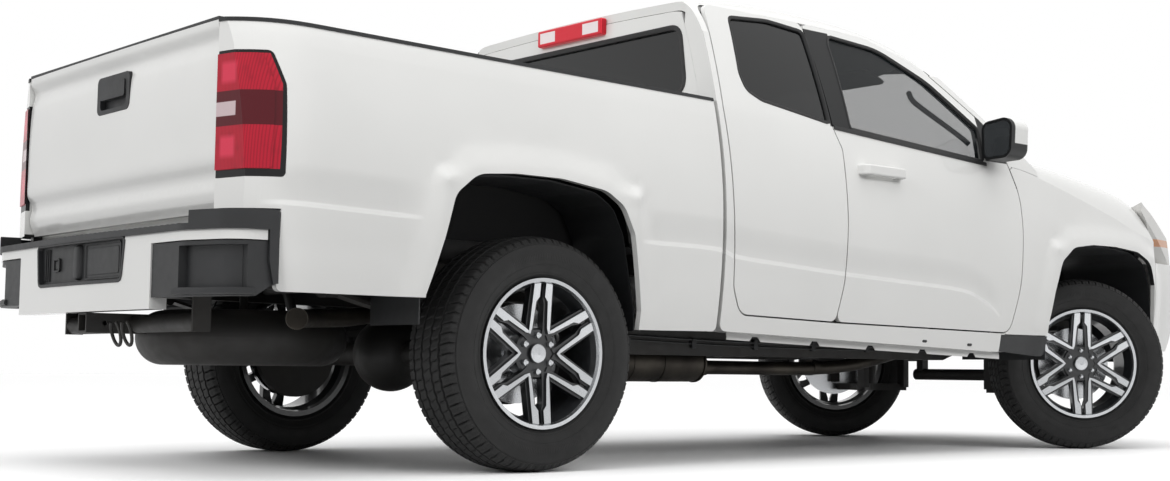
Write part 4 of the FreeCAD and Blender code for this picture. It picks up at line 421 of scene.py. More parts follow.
# Frame and running gear: welded steel dipped in black wax, dull and uneven, with patches of road dust and a
# brown bloom where stones have chipped it.
CHIP = 35.7
chassis_black = new_material("waxed_black_steel")
wax = drift(chassis_black, 200, "101112", "24221f", (0.35, 0.7))
bloom = drift(chassis_black, CHIP, 0.0, 0.5, detail=6.0)
surface(chassis_black, Base_Color=over(chassis_black, wax, (bloom, "2e2b28")),
        Roughness=drift(chassis_black, CHIP, 0.45, 0.8, detail=6.0),
        Normal=grained(chassis_black, 8.3, 1.5, 0.2, 4.0))
paint_nodes(chassis_black, "frame_rails", "frame_crossmembers", "box_sills", "cab_mounts", "hitch_receiver",
            "rear_axle", "leaf_springs", "shock_absorbers", "fuel_tank", "front_suspension", "knuckle_right",
            "knuckle_left", "driveshaft", "radiator", "spare_wheel")

# The engine's and the gearbox's castings: sand-cast aluminium, bolted together and left bare, pale, with a
# skin as rough as the sand of the mould.
cast_metal = new_material("cast_aluminium")
surface(cast_metal, Base_Color=drift(cast_metal, 83, "6d6f70", "8c8d8c"), Metallic=0.85, Roughness=0.55,
        Normal=grained(cast_metal, 2.9, 0.8, 0.3))
paint_nodes(cast_metal, "engine_and_gearbox")

# The exhaust: rolled stainless tube, straw-coloured where it runs hot. The silencer is a can with folded end rims
# and two clamped straps; the tail pipe climbs over the axle and turns out to the right behind the wheel, where
# its sawn end shows a bore coated with dry soot.
exhaust_steel = new_material("exhaust_steel")
surface(exhaust_steel, Base_Color=drift(exhaust_steel, 167, "2a2724", "4a4640"), Metallic=0.9,
        Roughness=drift(exhaust_steel, 16.7, 0.35, 0.6))
soot = new_material("soot")
surface(soot, Base_Color=drift(soot, 11, "040404", "0c0b0a"), Roughness=0.95)


def smooth_path(corners, step=0.02):
    """Points on a smooth line that passes through the corners."""
    corners = [Vector(corner) for corner in corners]
    padded = [corners[0] * 2 - corners[1]] + corners + [corners[-1] * 2 - corners[-2]]
    line = []
    for index in range(1, len(padded) - 2):
        a, b, c, d = padded[index - 1:index + 3]
        count = max(2, int((c - b).length / step))
        for t in np.arange(count) / count:
            cubic = (b * 3 - a - c * 3 + d) * t ** 3
            line.append(((b * 2) + (c - a) * t + (a * 2 - b * 5 + c * 4 - d) * t * t + cubic) / 2)
    return line + [corners[-1]]


def tube(name, line, radii, sides=20):
    """A round tube along a line; radii is one radius or one for each point."""
    if not isinstance(radii, list):
        radii = [radii] * len(line)
    points, faces = [], []
    direction = (line[-1] - line[0]).normalized()
    across = direction.orthogonal().normalized()
    for index, point in enumerate(line):
        heading = (line[min(index + 1, len(line) - 1)] - line[max(index - 1, 0)])
        if heading.length > 1e-7:
            direction = heading.normalized()
        across = (across - direction * across.dot(direction)).normalized()
        up = direction.cross(across)
        for turn_by in np.arange(sides) * 2 * math.pi / sides:
            points.append(point + (across * math.cos(turn_by) + up * math.sin(turn_by)) * radii[index])
    for index in range(len(line) - 1):
        for part in range(sides):
            a, b = index * sides + part, index * sides + (part + 1) % sides
            faces.append((a, b, b + sides, a + sides))
    faces += [tuple(range(sides))[::-1], tuple(range((len(line) - 1) * sides, len(line) * sides))]
    return mesh_from(name, points, faces, 50)


CAN_SECTION = [(-0.83, 0.05), (-0.822, 0.07), (-0.822, 0.079), (-0.814, 0.079), (-0.814, 0.074), (-0.79, 0.0765),
               (-0.6, 0.0765), (-0.6, 0.0785), (-0.585, 0.0785), (-0.585, 0.0765), (-0.44, 0.0765), (-0.44, 0.0785),
               (-0.425, 0.0785), (-0.425, 0.0765), (-0.245, 0.0765), (-0.222, 0.074), (-0.222, 0.079), (-0.214, 0.079),
               (-0.214, 0.07), (-0.206, 0.05)]
FRONT_RUN = [(-0.21, -0.27, 0.35), (0.62, -0.27, 0.358), (1.1, -0.245, 0.43), (1.3, -0.23, 0.48),
             (1.4, -0.225, 0.53), (1.41, -0.225, 0.612)]
TAIL_RUN = [(-0.82, -0.27, 0.368), (-1.06, -0.3, 0.4), (-1.33, -0.34, 0.515), (-1.7, -0.345, 0.522),
            (-1.93, -0.38, 0.5), (-2.1, -0.46, 0.492), (-2.215, -0.575, 0.486), (-2.262, -0.655, 0.483)]
BORE_DEPTH = 0.06
exhaust_parts = [tube("can", [Vector((x, -0.27, 0.368)) for x, r in CAN_SECTION], [r for x, r in CAN_SECTION], 48),
                 tube("front_pipe", smooth_path(FRONT_RUN, 0.03), 0.0285, 24)]
tail_run = smooth_path(TAIL_RUN)
end = tail_run[-1]
axis = (end - tail_run[-2]).normalized()
tail_line = tail_run + [end, end, end - axis * BORE_DEPTH, end - axis * BORE_DEPTH]
tail_radii = [0.03] * (len(tail_run) - 3) + [0.034] * 4 + [0.0315, 0.031, 0.0001]
exhaust_parts.append(tube("tail_pipe", tail_line, tail_radii, 32))
for clamp_x, clamp_y, clamp_z, clamp_r in ((-0.87, -0.276, 0.372, 0.034), (-0.17, -0.27, 0.351, 0.033),
                                           (0.5, -0.27, 0.357, 0.033)):
    clamp = [Vector((clamp_x + shift, clamp_y, clamp_z)) for shift in (-0.018, -0.018, 0.018, 0.018)]
    exhaust_parts.append(tube("clamp", clamp, [0.02, clamp_r, clamp_r, 0.02], 24))
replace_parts(make_piece("exhaust_system", join("exhaust_system", exhaust_parts, 50), exhaust_steel, "root"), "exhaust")
bore_line = [end - axis * (BORE_DEPTH - 0.002), end - axis * 0.004]
make_piece("tail_pipe_bore", tube("bore", bore_line, 0.0309, 32), soot, "root")

# Along the sill's foot runs the spot-welded flange, cut with jacking notches; oval rubber plugs close the
# drain holes above it. Two steel lines follow the right frame rail in plastic clips.
FLANGE_STEP = 0.0149
FLANGE_POINTS = 112
NOTCH_PITCH = 22
FLANGE_FACES = (0.846, 0.8486)
SILL_SIDE = 0.8862
RAIL_SIDE = 0.52


def sill_foot(x):
    """Height of the sill's lower edge at a station."""
    return 0.4592 - 0.0307 * x


sill_plugs, flanges = [], []
for hand in (-1, 1):
    flange_line = [(-0.598 + part * FLANGE_STEP, 0.01 if part % NOTCH_PITCH in (9, 10, 11) else 0.027)
                   for part in range(FLANGE_POINTS)]
    points, faces = [], []
    for side in FLANGE_FACES:
        points += [Vector((x, hand * side, sill_foot(x) + 0.001)) for x, drop in flange_line]
        points += [Vector((x, hand * side, sill_foot(x) - drop)) for x, drop in flange_line]
    count = FLANGE_POINTS
    for index in range(count - 1):
        a, b, c, d = index, count + index, 2 * count + index, 3 * count + index
        faces += [(a, a + 1, b + 1, b), (c, d, d + 1, c + 1), (b, b + 1, d + 1, d), (a, c, c + 1, a + 1)]
    faces += [(0, count, 3 * count, 2 * count), (count - 1, 3 * count - 1, 4 * count - 1, 2 * count - 1)]
    flanges.append(mesh_from("flange", points, faces))
    for plug_x in (-0.42, -0.1, 0.2, 0.5, 0.8):
        def on_sill(along, up, out, plug_x=plug_x, hand=hand):
            return Vector((plug_x + along, hand * (SILL_SIDE + 0.18 * up + out), sill_foot(plug_x) + 0.022 + up))

        sill_plugs.append(moulding("plug", box_outline(-0.016, -0.0055, 0.016, 0.0055, 0.005),
                                   [(0.0, -0.004), (0.0, 0.001), (0.0015, 0.0022)], on_sill))
make_piece("sill_flanges", join("sill_flanges", flanges), white, "root")
make_piece("sill_plugs", join("sill_plugs", sill_plugs), black_plastic, "root")
line_parts = []
for drop, radius in ((0.0, 0.004), (0.016, 0.003)):
    run = [(-0.95, 0.47), (-0.3, 0.452), (0.35, 0.446), (0.9, 0.448), (1.02, 0.47)]
    line_parts.append(tube("line", smooth_path([(x, -RAIL_SIDE - 0.01, z - drop) for x, z in run], 0.03), radius, 8))
for clip_x in np.arange(-0.8, 1.0, 0.34):
    def on_rail(along, up, out, clip_x=clip_x):
        return Vector((clip_x + along, -RAIL_SIDE - out, 0.446 + up))

    line_parts.append(moulding("clip", box_outline(-0.012, -0.024, 0.012, 0.016, 0.004),
                               [(0.0, -0.001), (0.0, 0.013), (0.003, 0.016)], on_rail))
make_piece("rail_lines", join("rail_lines", line_parts), black_plastic, "root")

# Two loops of bent steel rod, welded under the hitch and waxed with it, take a trailer's safety chains.
LOOP_X, LOOP_HEIGHT = -2.632, 0.437
loops = []
for loop_y in (-0.185, -0.265):
    ring = [Vector((LOOP_X + 0.006 * math.sin(turn_by), loop_y + 0.03 * math.cos(turn_by) - 0.01 * math.sin(turn_by),
                    LOOP_HEIGHT - 0.04 * math.sin(turn_by))) for turn_by in np.linspace(-0.9, math.pi + 0.9, 30)]
    loops.append(tube("loop", ring, 0.0055, 10))
make_piece("chain_loops", join("chain_loops", loops), chassis_black, "root")

# Glass: toughened panes, lightly tinted beside the driver and dark behind. Float glass is flat enough to
# mirror the room. The door mirrors' panes are silvered, and the windscreen is nearly clear.
def glass_material(name, tint, alpha, special=None):
    """Tinted glass that lets a share of the light through. What lies beyond a limit along one of place_parts can
    be another glass: special is (which part, limit, tint, alpha, metal)."""
    glass = new_material(name)
    metal = 0.0
    if special:
        part, limit, *others = special
        where = zone(glass, (place_parts(glass)[part], limit, None))
        tint, alpha, metal = [over(glass, usual, (where, other))
                              for usual, other in zip((tint, alpha, metal), others)]
    surface(glass, Base_Color=tint, Roughness=0.03, Alpha=alpha, Metallic=metal)
    return glass


mirror_pane = (1, 0.9, "c9cdd0", 1.0, 1.0)
windscreen = (0, 0.3, "5c6462", 0.16, 0.0)
for glass, panes in ((glass_material("side_glass", "1c2124", 0.36, mirror_pane), "door_front_%s_glass"),
                     (glass_material("privacy_glass", "080a0b", 0.94), "door_rear_%s_glass")):
    paint_nodes(glass, panes % "right", panes % "left")
paint_nodes(glass_material("screen_and_back_glass", "080a0b", 0.94, windscreen), "fixed_glass")

# Doors: white outside, with a black post between the side windows, a black mirror foot and mirror back, and
# a dark grey moulded lining inside. One material reads the place on the door and paints each zone.
SKIN_LINE = [(0.45, 0.859), (0.67, 0.89), (0.88, 0.9), (1.1, 0.886), (1.3, 0.85), (1.36, 0.831),
             (1.5, 0.783), (1.6, 0.744), (1.75, 0.68)]


def door_zones(material):
    """The black plastic parts, and the lining on what lies inboard of the skin."""
    x, side, z = place_parts(material)
    mirror_rim = zone(material, (side, 0.904, None), (x, 0.8, 0.889), (z, 1.23, None))
    mirror_base = zone(material, (side, 0.904, None), (x, 0.85, None), (z, 1.22, 1.305))
    mirror_foot = zone(material, (side, None, 0.906), (x, 0.916, None), (z, 1.246, 1.5))
    post = zone(material, (x, -0.064, 0.062), (z, 1.292, 1.702))
    post_top = zone(material, (x, 0.05, 0.084), (z, 1.645, 1.702))
    skin = curve_of(material, z, SKIN_LINE)
    inboard = add(material, "Math", {0: side, 1: skin}, operation="LESS_THAN")
    return [(either(material, mirror_rim, mirror_base, mirror_foot, post, post_top), "121314", 0.42),
            (inboard, "242527", 0.7)]


paint_nodes(body_paint("white_door", door_zones), "door_front_right_shell", "door_front_left_shell",
            "door_rear_right_shell", "door_rear_left_shell")

# Tail lamps: a red acrylic lens, moulded with vertical prisms, over a silvered reflector. The glints of the reflector's
# cells and of the prisms, and brighter spots over the bulbs, are painted highlights in the lens colour, and that colour
# also gives the lens a faint painted glow. A crimson middle band carries the clear reversing strip on the rear face,
# and the housing shows as a black frame around it. The lamp over the rear window has a red middle between two clear
# cargo lamps.
WAVE_PERIOD = 314  # a wave pattern repeats after so many millimetres at scale 1
PRISM_WIDTH = 5.7
REFLECTOR_CELL = 38.5
red_lens = new_material("tail_lamp_lens")
lamp_x, lamp_side, lamp_z = place_parts(red_lens)
lamp_outward = facing(red_lens)[OUTWARD]
front_edge, upper_edge = [add(red_lens, "MapRange", {"Value": lamp_z, "From Min": low, "From Max": high,
                                                     "To Min": start, "To Max": end_at})
                          for low, high, start, end_at in ((0.905, 1.16, -2.471, -2.459), (1.16, 1.255, 0.0, -0.028))]
edge = add(red_lens, "Math", {0: front_edge, 1: upper_edge}, operation="ADD")
ahead = add(red_lens, "Math", {0: lamp_x, 1: edge}, operation="GREATER_THAN")
side_lamp = zone(red_lens, (lamp_side, 0.5, None))
housing = zone(red_lens, side_lamp, either(red_lens, ahead, zone(red_lens, (lamp_outward, None, -0.3)),
                                           zone(red_lens, (lamp_z, None, 0.907), soft=0.0002),
                                           zone(red_lens, (lamp_z, 1.2525, None), soft=0.0002)))
lamp_place = add(red_lens, "TexCoord").outputs["Object"]
prisms = add(red_lens, "TexWave", {"Vector": lamp_place, "Scale": WAVE_PERIOD / PRISM_WIDTH},
             bands_direction="Y").outputs["Fac"]
cells = add(red_lens, "TexVoronoi", {"Vector": lamp_place, "Scale": 1000 / REFLECTOR_CELL}, feature="SMOOTH_F1")
# Painted highlights: the glints of the reflector's cells behind the prisms, drawn into the lens colour.
painted_reflector_glint = add(red_lens, "Math", {0: prisms, 1: cells, 2: 0.5}, operation="MULTIPLY_ADD")
painted_glint, painted_prism_highlight = [add(red_lens, "MapRange", {"Value": value, "From Min": low, "From Max": high})
                for value, low, high in ((painted_reflector_glint, 0.05, 0.75), (prisms, 0.1, 0.9))]
# Spots over the bulbs, painted brighter red as highlights.
bulb_heights = either(red_lens, zone(red_lens, (lamp_z, 0.945, 1.005), soft=0.008),
                      zone(red_lens, (lamp_z, 1.165, 1.225), soft=0.008))
painted_bulb_highlight = zone(red_lens, bulb_heights, (lamp_side, 0.742, 0.8), soft=0.006)
middle_band = zone(red_lens, (lamp_z, 1.036, 1.14), soft=0.001)
reversing_strip = zone(red_lens, (lamp_z, 1.066, 1.108), (lamp_side, 0.7, 0.802), soft=0.001)
cargo_lamps = zone(red_lens, (lamp_side, 0.088, 0.186), (lamp_z, 1.68, 1.724), soft=0.001)
# The corner lens: dark red with painted glints and painted bulb highlights, the crimson middle band and the clear
# strip.
corner_lens = over(red_lens, "3c0410", (painted_glint, "a3142a"), (painted_bulb_highlight, "c03048"), (middle_band, "480410"),
                   (reversing_strip, "b7a5a8"))
# The top lamp: red with painted highlights along its prisms, and the clear cargo lamps.
top_lens = over(red_lens, "a80f20", (painted_prism_highlight, "d8303f"), (cargo_lamps, "d9cfd0"))
lens_colour = over(red_lens, top_lens, (side_lamp, corner_lens))
prism_bump = add(red_lens, "Bump", {"Height": prisms, "Strength": 0.12, "Distance": 0.0008})
# The lens colour is also emitted faintly: a painted glow.
surface(red_lens, Base_Color=over(red_lens, lens_colour, (housing, "0d0d0e")), Specular_IOR_Level=0.25,
        Roughness=over(red_lens, 0.3, (housing, 0.4)), Coat_Weight=0.12, Coat_Roughness=0.02, Normal=prism_bump,
        Emission_Color=over(red_lens, lens_colour, (housing, "000000")), Emission_Strength=0.22)
paint_nodes(red_lens, "rear_lamps")

# Inside the load box a pressed steel cover, painted with the body, closes the post behind each tail lamp. It
# lies flat on the post with a rolled edge.
POST_INNER_SIDE = 0.7356
for side_name, hand in SIDES:
    def on_post(x, z, out, hand=hand):
        return Vector((x, hand * (POST_INNER_SIDE - out), z))

    cover = moulding("lamp_post_cover", box_outline(-2.527, 0.88, -2.443, 1.266, 0.012),
                     [(0.0, 0.0), (0.0, 0.0014), (0.0012, 0.0026), (0.009, 0.0026), (0.012, 0.0016)], on_post)
    make_piece("lamp_post_cover_" + side_name, cover, white, "root")

# Headlamps: a clear polycarbonate cover over a dark tray with two silvered lamps and a bright running strip.
# The outer end, which wraps round the fender, is a plain reflector with an amber side marker.
BOWL_RADIUS = 0.045
BOWL_HEIGHT = 0.955
clear_lens = new_material("headlamp")
head_x, head_side, head_z = place_parts(clear_lens)
head_mid = add(clear_lens, "CombineXYZ", {"Y": head_side, "Z": head_z})
bowls = []
for bowl_side in (0.6, 0.71):
    distance = add(clear_lens, "VectorMath", {0: head_mid, 1: (0.0, bowl_side, BOWL_HEIGHT)}, operation="DISTANCE")
    bowls.append(add(clear_lens, "MapRange", {"Value": distance.outputs[1], "From Max": BOWL_RADIUS, "To Min": 1.0,
                                              "To Max": 0.0}, interpolation_type="SMOOTHSTEP"))
running_strip = zone(clear_lens, (head_z, 0.884, 0.897), soft=0.001)
outer_end = zone(clear_lens, (head_side, 0.8, None))
marker = zone(clear_lens, outer_end, (head_z, 0.955, 0.99), soft=0.002)
surface(clear_lens, Base_Color=over(clear_lens, drift(clear_lens, 62.5, "2b2d2f", "4b4e50"),
                                    (either(clear_lens, *bowls, running_strip), "e9ecee"),
                                    (outer_end, "c4c3c0"), (marker, "c07a3c")),
        Roughness=0.12, Metallic=over(clear_lens, 0.5, (outer_end, 0.0)), Coat_Weight=1.0, Coat_Roughness=0.01,
        Normal=grained(clear_lens, 16.7, 2.0, 0.1))
paint_nodes(clear_lens, "headlamps")

# Wheels: cast alloy, sprayed charcoal all over and then turned in a lathe, so the spokes' faces and the lip
# come out bright with fine circular tool marks, while the pockets, the hub and the barrel stay dark. The tool
# marks are drawn 1.1 mm apart, coarser than the real ones, so that they show.
AXLES = {"front": (1.7665, math.radians(-37)), "rear": (-1.4925, 0)}
HALF_TRACK = 0.7935
KINGPIN_SIDE = 0.735
AXLE_HEIGHT = 0.387
NUT_CIRCLE = 0.06
MARK_PITCH = 1.1


def wheel_place(corner):
    """Where a wheel stands: made at the origin with its outer face towards -Y."""
    axle, side_name = corner.split("_")
    axle_x, steer = AXLES[axle]
    hand = -1 if side_name == "right" else 1
    kingpin = Vector((axle_x, hand * KINGPIN_SIDE, 0))
    outward = Matrix.Rotation(0 if hand < 0 else math.pi, 4, "Z")
    stand = Matrix.Translation((axle_x, hand * HALF_TRACK, AXLE_HEIGHT)) @ outward
    return Matrix.Translation(kingpin) @ Matrix.Rotation(steer, 4, "Z") @ Matrix.Translation(-kingpin) @ stand


def wheel_coords(material, place):
    """Distance from the axle, offset along it and angle round it, for a wheel that stands at a place."""
    point = add(material, "TexCoord").outputs["Object"]
    from_centre = add(material, "VectorMath", {0: point, 1: tuple(place.translation)}, operation="SUBTRACT")
    local = add(material, "VectorRotate", {"Vector": from_centre, "Angle": -place.to_euler().z},
                rotation_type="Z_AXIS")
    along, offset, up = add(material, "SeparateXYZ", {"Vector": local}).outputs
    flat = add(material, "CombineXYZ", {"X": along, "Z": up})
    radius = add(material, "VectorMath", {0: flat}, operation="LENGTH").outputs["Value"]
    return radius, offset, add(material, "Math", {0: up, 1: along}, operation="ARCTAN2")


def rim_material(corner):
    """Charcoal with the turned zones of one wheel: spoke faces, cap, nuts, brake disc and lip."""
    rim = new_material("alloy_" + corner)
    radius, offset, angle = wheel_coords(rim, wheel_place(corner))
    face = add(rim, "MapRange", {"Value": radius, "From Min": 0.084, "From Max": 0.23, "To Min": -0.0883,
                                 "To Max": -0.1073})
    depth = add(rim, "Math", {0: offset, 1: face}, operation="SUBTRACT")
    spoke_faces = zone(rim, (depth, -0.02, 0.0012), (radius, 0.062, 0.3), soft=0.0004)
    cap = zone(rim, (radius, None, 0.031), (offset, -0.1, -0.083), soft=0.0005)
    sixth = add(rim, "Math", {0: angle, 1: math.pi / 3}, operation="FLOORED_MODULO")
    turned_by = add(rim, "Math", {0: sixth, 1: math.pi / 6}, operation="SUBTRACT")
    aside = add(rim, "Math", {0: turned_by, 1: radius}, operation="MULTIPLY")
    beyond = add(rim, "Math", {0: radius, 1: NUT_CIRCLE}, operation="SUBTRACT")
    nut_flat = add(rim, "CombineXYZ", {"X": aside, "Y": beyond})
    from_nut = add(rim, "VectorMath", {0: nut_flat}, operation="LENGTH").outputs["Value"]
    nuts = zone(rim, (from_nut, None, 0.0112), (offset, -0.1, -0.0758), soft=0.0005)
    disc = zone(rim, (radius, 0.062, 0.168), (offset, 0.02, 0.06))
    lip = zone(rim, (radius, 0.2405, 0.3), (offset, -0.2, -0.1145), soft=0.0004)
    bright = either(rim, spoke_faces, cap, nuts, disc, lip)
    outward = add(rim, "Math", {0: radius, 1: 1000 / MARK_PITCH}, operation="MULTIPLY")
    marks = add(rim, "TexNoise", {"W": outward, "Detail": 2.0}, noise_dimensions="1D").outputs["Fac"]
    mark_share = add(rim, "MapRange", {"Value": marks, "From Min": 0.2, "From Max": 0.8})
    turned = over(rim, "a6a8ab", (mark_share, "cbcdcf"))
    surface(rim, Base_Color=over(rim, drift(rim, 25, "141517", "1e2022"), (bright, turned)),
            Metallic=over(rim, 0.2, (bright, 0.95)), Roughness=over(rim, 0.4, (bright, 0.24)), Coat_Weight=0.6,
            Coat_Roughness=0.08,
            Normal=add(rim, "Bump", {"Height": marks, "Strength": 0.12, "Distance": 0.0002}))
    return rim


# Tyres: black rubber moulded with five ribs of tread, slanting sipes, open shoulder blocks with a serrated
# edge, and a plain side wall with fine rings, a rim protector and two fields of fine radial ribs. The mesh is
# one grid: STEPS rows around the tyre by the points of its section, each pushed in where the mould stands proud.
STEPS = 576
BLOCK_STEPS = 8
TREAD_RADIUS = 0.3868
TREAD_HALF_WIDTH = 0.108
SHOULDER_DROP = 0.0105
SLANT_STEPS = 7.0
ZIGZAG = 0.0022
GROOVE_DEPTH = 0.008
WALL, RIB, GROOVE = 1, 2, 3
rubber = new_material("tyre_rubber")
surface(rubber, Base_Color=drift(rubber, 111, "070707", "0f0f0f", detail=5.0),
        Roughness=drift(rubber, 38.5, 0.62, 0.8), Normal=grained(rubber, 1.25, 0.5, 0.25))
wall = [(0.372, 0.114), (0.3655, 0.1189), (0.361, 0.122), (0.3595, 0.1212), (0.3575, 0.1212), (0.356, 0.1243),
        (0.348, 0.1268), (0.34, 0.129), (0.33, 0.131), (0.321, 0.1318), (0.312, 0.1317), (0.303, 0.1303),
        (0.294, 0.1278), (0.2925, 0.1262), (0.2905, 0.1262), (0.289, 0.1268), (0.281, 0.1225), (0.272, 0.1175),
        (0.266, 0.115), (0.2635, 0.1165), (0.2595, 0.116), (0.2575, 0.1125), (0.253, 0.1095), (0.2485, 0.1045),
        (0.2465, 0.0975), (0.236, 0.095)]
columns = [(groove + step, GROOVE if abs(step) < 0.004 else RIB) for groove in (-0.068, -0.0235, 0.0235, 0.068)
           for step in (-0.0052, -0.0036, 0.0036, 0.0052)]
columns += [(lane, RIB) for lane in (-0.108, -0.1, -0.088, -0.08, -0.055, -0.045, -0.036, -0.01, 0.0, 0.01,
                                     0.036, 0.045, 0.055, 0.08, 0.088, 0.1, 0.108)]
columns.sort()
section = [(radius, -offset, WALL) for radius, offset in reversed(wall)]
section += [(TREAD_RADIUS - SHOULDER_DROP * (abs(offset) / TREAD_HALF_WIDTH) ** 4, offset, kind)
            for offset, kind in columns]
section += [(radius, offset, WALL) for radius, offset in wall]
radii, offsets, kinds = [np.array(values) for values in zip(*section)]
row = np.arange(STEPS)[:, None]
phase = row % BLOCK_STEPS
across = np.abs(offsets)[None, :]
tread = kinds != WALL
lean_steps = np.where(tread, SLANT_STEPS * (across / TREAD_HALF_WIDTH) ** 0.8, SLANT_STEPS)
angle = 2 * np.pi * (row + lean_steps * np.sign(offsets)) / STEPS
middle_rib = tread & (across < 0.075) & (across > 0.015)
zigzag = np.where(middle_rib, ZIGZAG * (np.abs(phase - 4) - 2) / 2, 0.0)
depth = np.zeros((STEPS, len(section)))
depth[:, kinds == GROOVE] = GROOVE_DEPTH
for inner, outer, cut_phase, cut_depth in ((0.079, 1.0, 0, 0.0075), (0.083, 0.105, 4, 0.003),
                                           (0.03, 0.06, 2, 0.0055), (-1.0, 0.012, 6, 0.004)):
    cut = (kinds == RIB) & (across > inner) & (across < outer) & (phase == cut_phase)
    depth += np.where(cut, cut_depth, 0)
shoulder_edge = ~tread & (radii > 0.3615) & (radii < 0.374)
serration = np.where(shoulder_edge & (phase % 4 < 2), 0.003, 0) + np.where(shoulder_edge & (phase == 0), 0.006, 0)
from_field = np.abs((row / STEPS * 4 * np.pi) % (2 * np.pi) - np.pi)
ribbed = ~tread & (radii > 0.3) & (radii < 0.345) & (from_field < 1.1) & (row % 2 == 0)
ring_radius = radii - depth
ring_offset = offsets + zigzag - np.sign(offsets) * (serration + np.where(ribbed, 0.0013, 0))
tyre_points = np.stack([ring_radius * np.cos(angle), ring_offset, ring_radius * np.sin(angle)], -1)
ids = np.arange(STEPS * len(section)).reshape(STEPS, len(section))
beside = np.roll(ids, -1, 1)
tyre_faces = np.stack([ids, beside, np.roll(beside, -1, 0), np.roll(ids, -1, 0)], -1).reshape(-1, 4)
for corner in ("rear_right", "rear_left", "front_right", "front_left"):
    tyre_mesh = mesh_from("tread_" + corner, tyre_points.reshape(-1, 3), tyre_faces.tolist(), 40)
    tyre_mesh.transform(wheel_place(corner))
    tyre = make_piece("tyre_detail_" + corner, tyre_mesh, rubber, "wheel_" + corner)
    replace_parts(tyre, "tyre_" + corner)
    paint_nodes(rim_material(corner), "rim_" + corner)

# Window seals: extruded rubber, pressed over the edge of each opening, with a lip that lies on the glass.
# The belt seal below a door window is wider, with a thin flange on the outer skin.
rubber_black = new_material("sealing_rubber")
surface(rubber_black, Base_Color=drift(rubber_black, 50, "0e0e0f", "171718"),
        Roughness=drift(rubber_black, 16.7, 0.45, 0.6), Normal=grained(rubber_black, 1.1, 0.4, 0.15))
FRONT_WINDOW = [(0.052, 1.292, 0.02), (0.902, 1.24, 0.014), (0.922, 1.386, 0.024), (0.646, 1.569, 0.5),
                (0.376, 1.676, 0.4), (0.082, 1.694, 0.03), (0.062, 1.653, 0.03)]
REAR_WINDOW = [(-0.43, 1.352, 0.06), (-0.062, 1.3, 0.02), (-0.064, 1.69, 0.03), (-0.268, 1.706, 0.4),
               (-0.488, 1.686, 0.03), (-0.52, 1.45, 0.08), (-0.505, 1.385, 0.06)]
BACK_WINDOW = [(-0.7, 1.372, 0.06), (0.7, 1.372, 0.06), (0.64, 1.64, 0.07), (-0.64, 1.64, 0.07)]
SCREEN = [(-0.795, 1.306, 0.04), (0.0, 1.314, 3.0), (0.795, 1.306, 0.04), (0.712, 1.64, 0.06),
          (0.4, 1.676, 0.5), (0.0, 1.686, 0.9), (-0.4, 1.676, 0.5), (-0.712, 1.64, 0.06)]
WINDOW_LIP = [(-0.0045, -0.002), (-0.004, 0.0012), (0.001, 0.0022), (0.008, -0.0005), (0.0115, -0.006),
              (0.0115, -0.0095), (0.0005, -0.0095)]
BELT_LIP = [(-0.017, 0.0), (-0.0165, 0.004), (-0.003, 0.0045), (0.0, 0.001), (0.0, -0.004), (-0.017, -0.004)]
BACK_LIP = [(-0.009, -0.001), (-0.008, 0.003), (0.002, 0.004), (0.011, 0.0), (0.0125, -0.011), (0.0005, -0.0115)]
SCREEN_LIP = [(-0.006, -0.002), (-0.005, 0.002), (0.006, 0.0025), (0.014, 0.0004), (0.014, -0.0002), (0.0, -0.0005)]


BELT_TOP = 1.3
BACK_X = -0.676
SCREEN_FOOT_X, SCREEN_FOOT_HEIGHT = 1.4, 1.29
SCREEN_RAKE = 1.62
SCREEN_BOW, SCREEN_HALF_WIDTH = 0.15, 0.78


def half_width(z):
    """Half width of the cab at a height: it bulges below the belt and leans in above it."""
    above = z - BELT_TOP
    if above < 0:
        return 0.926 - 0.05 * max(0.0, 1 + above / 0.42) ** 2
    return 0.876 - 0.3 * above - 0.186 * above ** 2


def on_back(y, z, out):
    """A place on the outer face of the cab's back, which leans forward from 1.33 m up."""
    return Vector((BACK_X + 0.088 * max(0.0, z - 1.33) - out, y, z))


def on_screen(y, z, out):
    """A place on the outer face of the windscreen, raked and bowed in plan."""
    rake = SCREEN_RAKE * (z - SCREEN_FOOT_HEIGHT)
    return Vector((SCREEN_FOOT_X - rake - SCREEN_BOW * (y / SCREEN_HALF_WIDTH) ** 2 + out, y, z))


belt = [Vector((x, 1.2957 - 0.0612 * x)) for x in np.linspace(-0.046, 0.915, 24)]
for side_name, hand in SIDES:
    def on_side(x, z, out, hand=hand):
        return Vector((x, hand * (half_width(z) + out), z))

    for door, window in (("front_" + side_name, FRONT_WINDOW), ("rear_" + side_name, REAR_WINDOW)):
        seal = swept("seal", rounded(window), WINDOW_LIP, on_side)
        make_piece("window_seal_" + door, seal, rubber_black, "door_" + door)
    belt_mesh = swept("belt", belt, BELT_LIP, on_side, closed=False)
    make_piece("belt_seal_" + side_name, belt_mesh, rubber_black, "door_front_" + side_name)
for name, window, lip, place in (("back_window_seal", BACK_WINDOW, BACK_LIP, on_back),
                                 ("screen_seal", SCREEN, SCREEN_LIP, on_screen)):
    make_piece(name, swept(name, rounded(window), lip, place), rubber_black, "root")

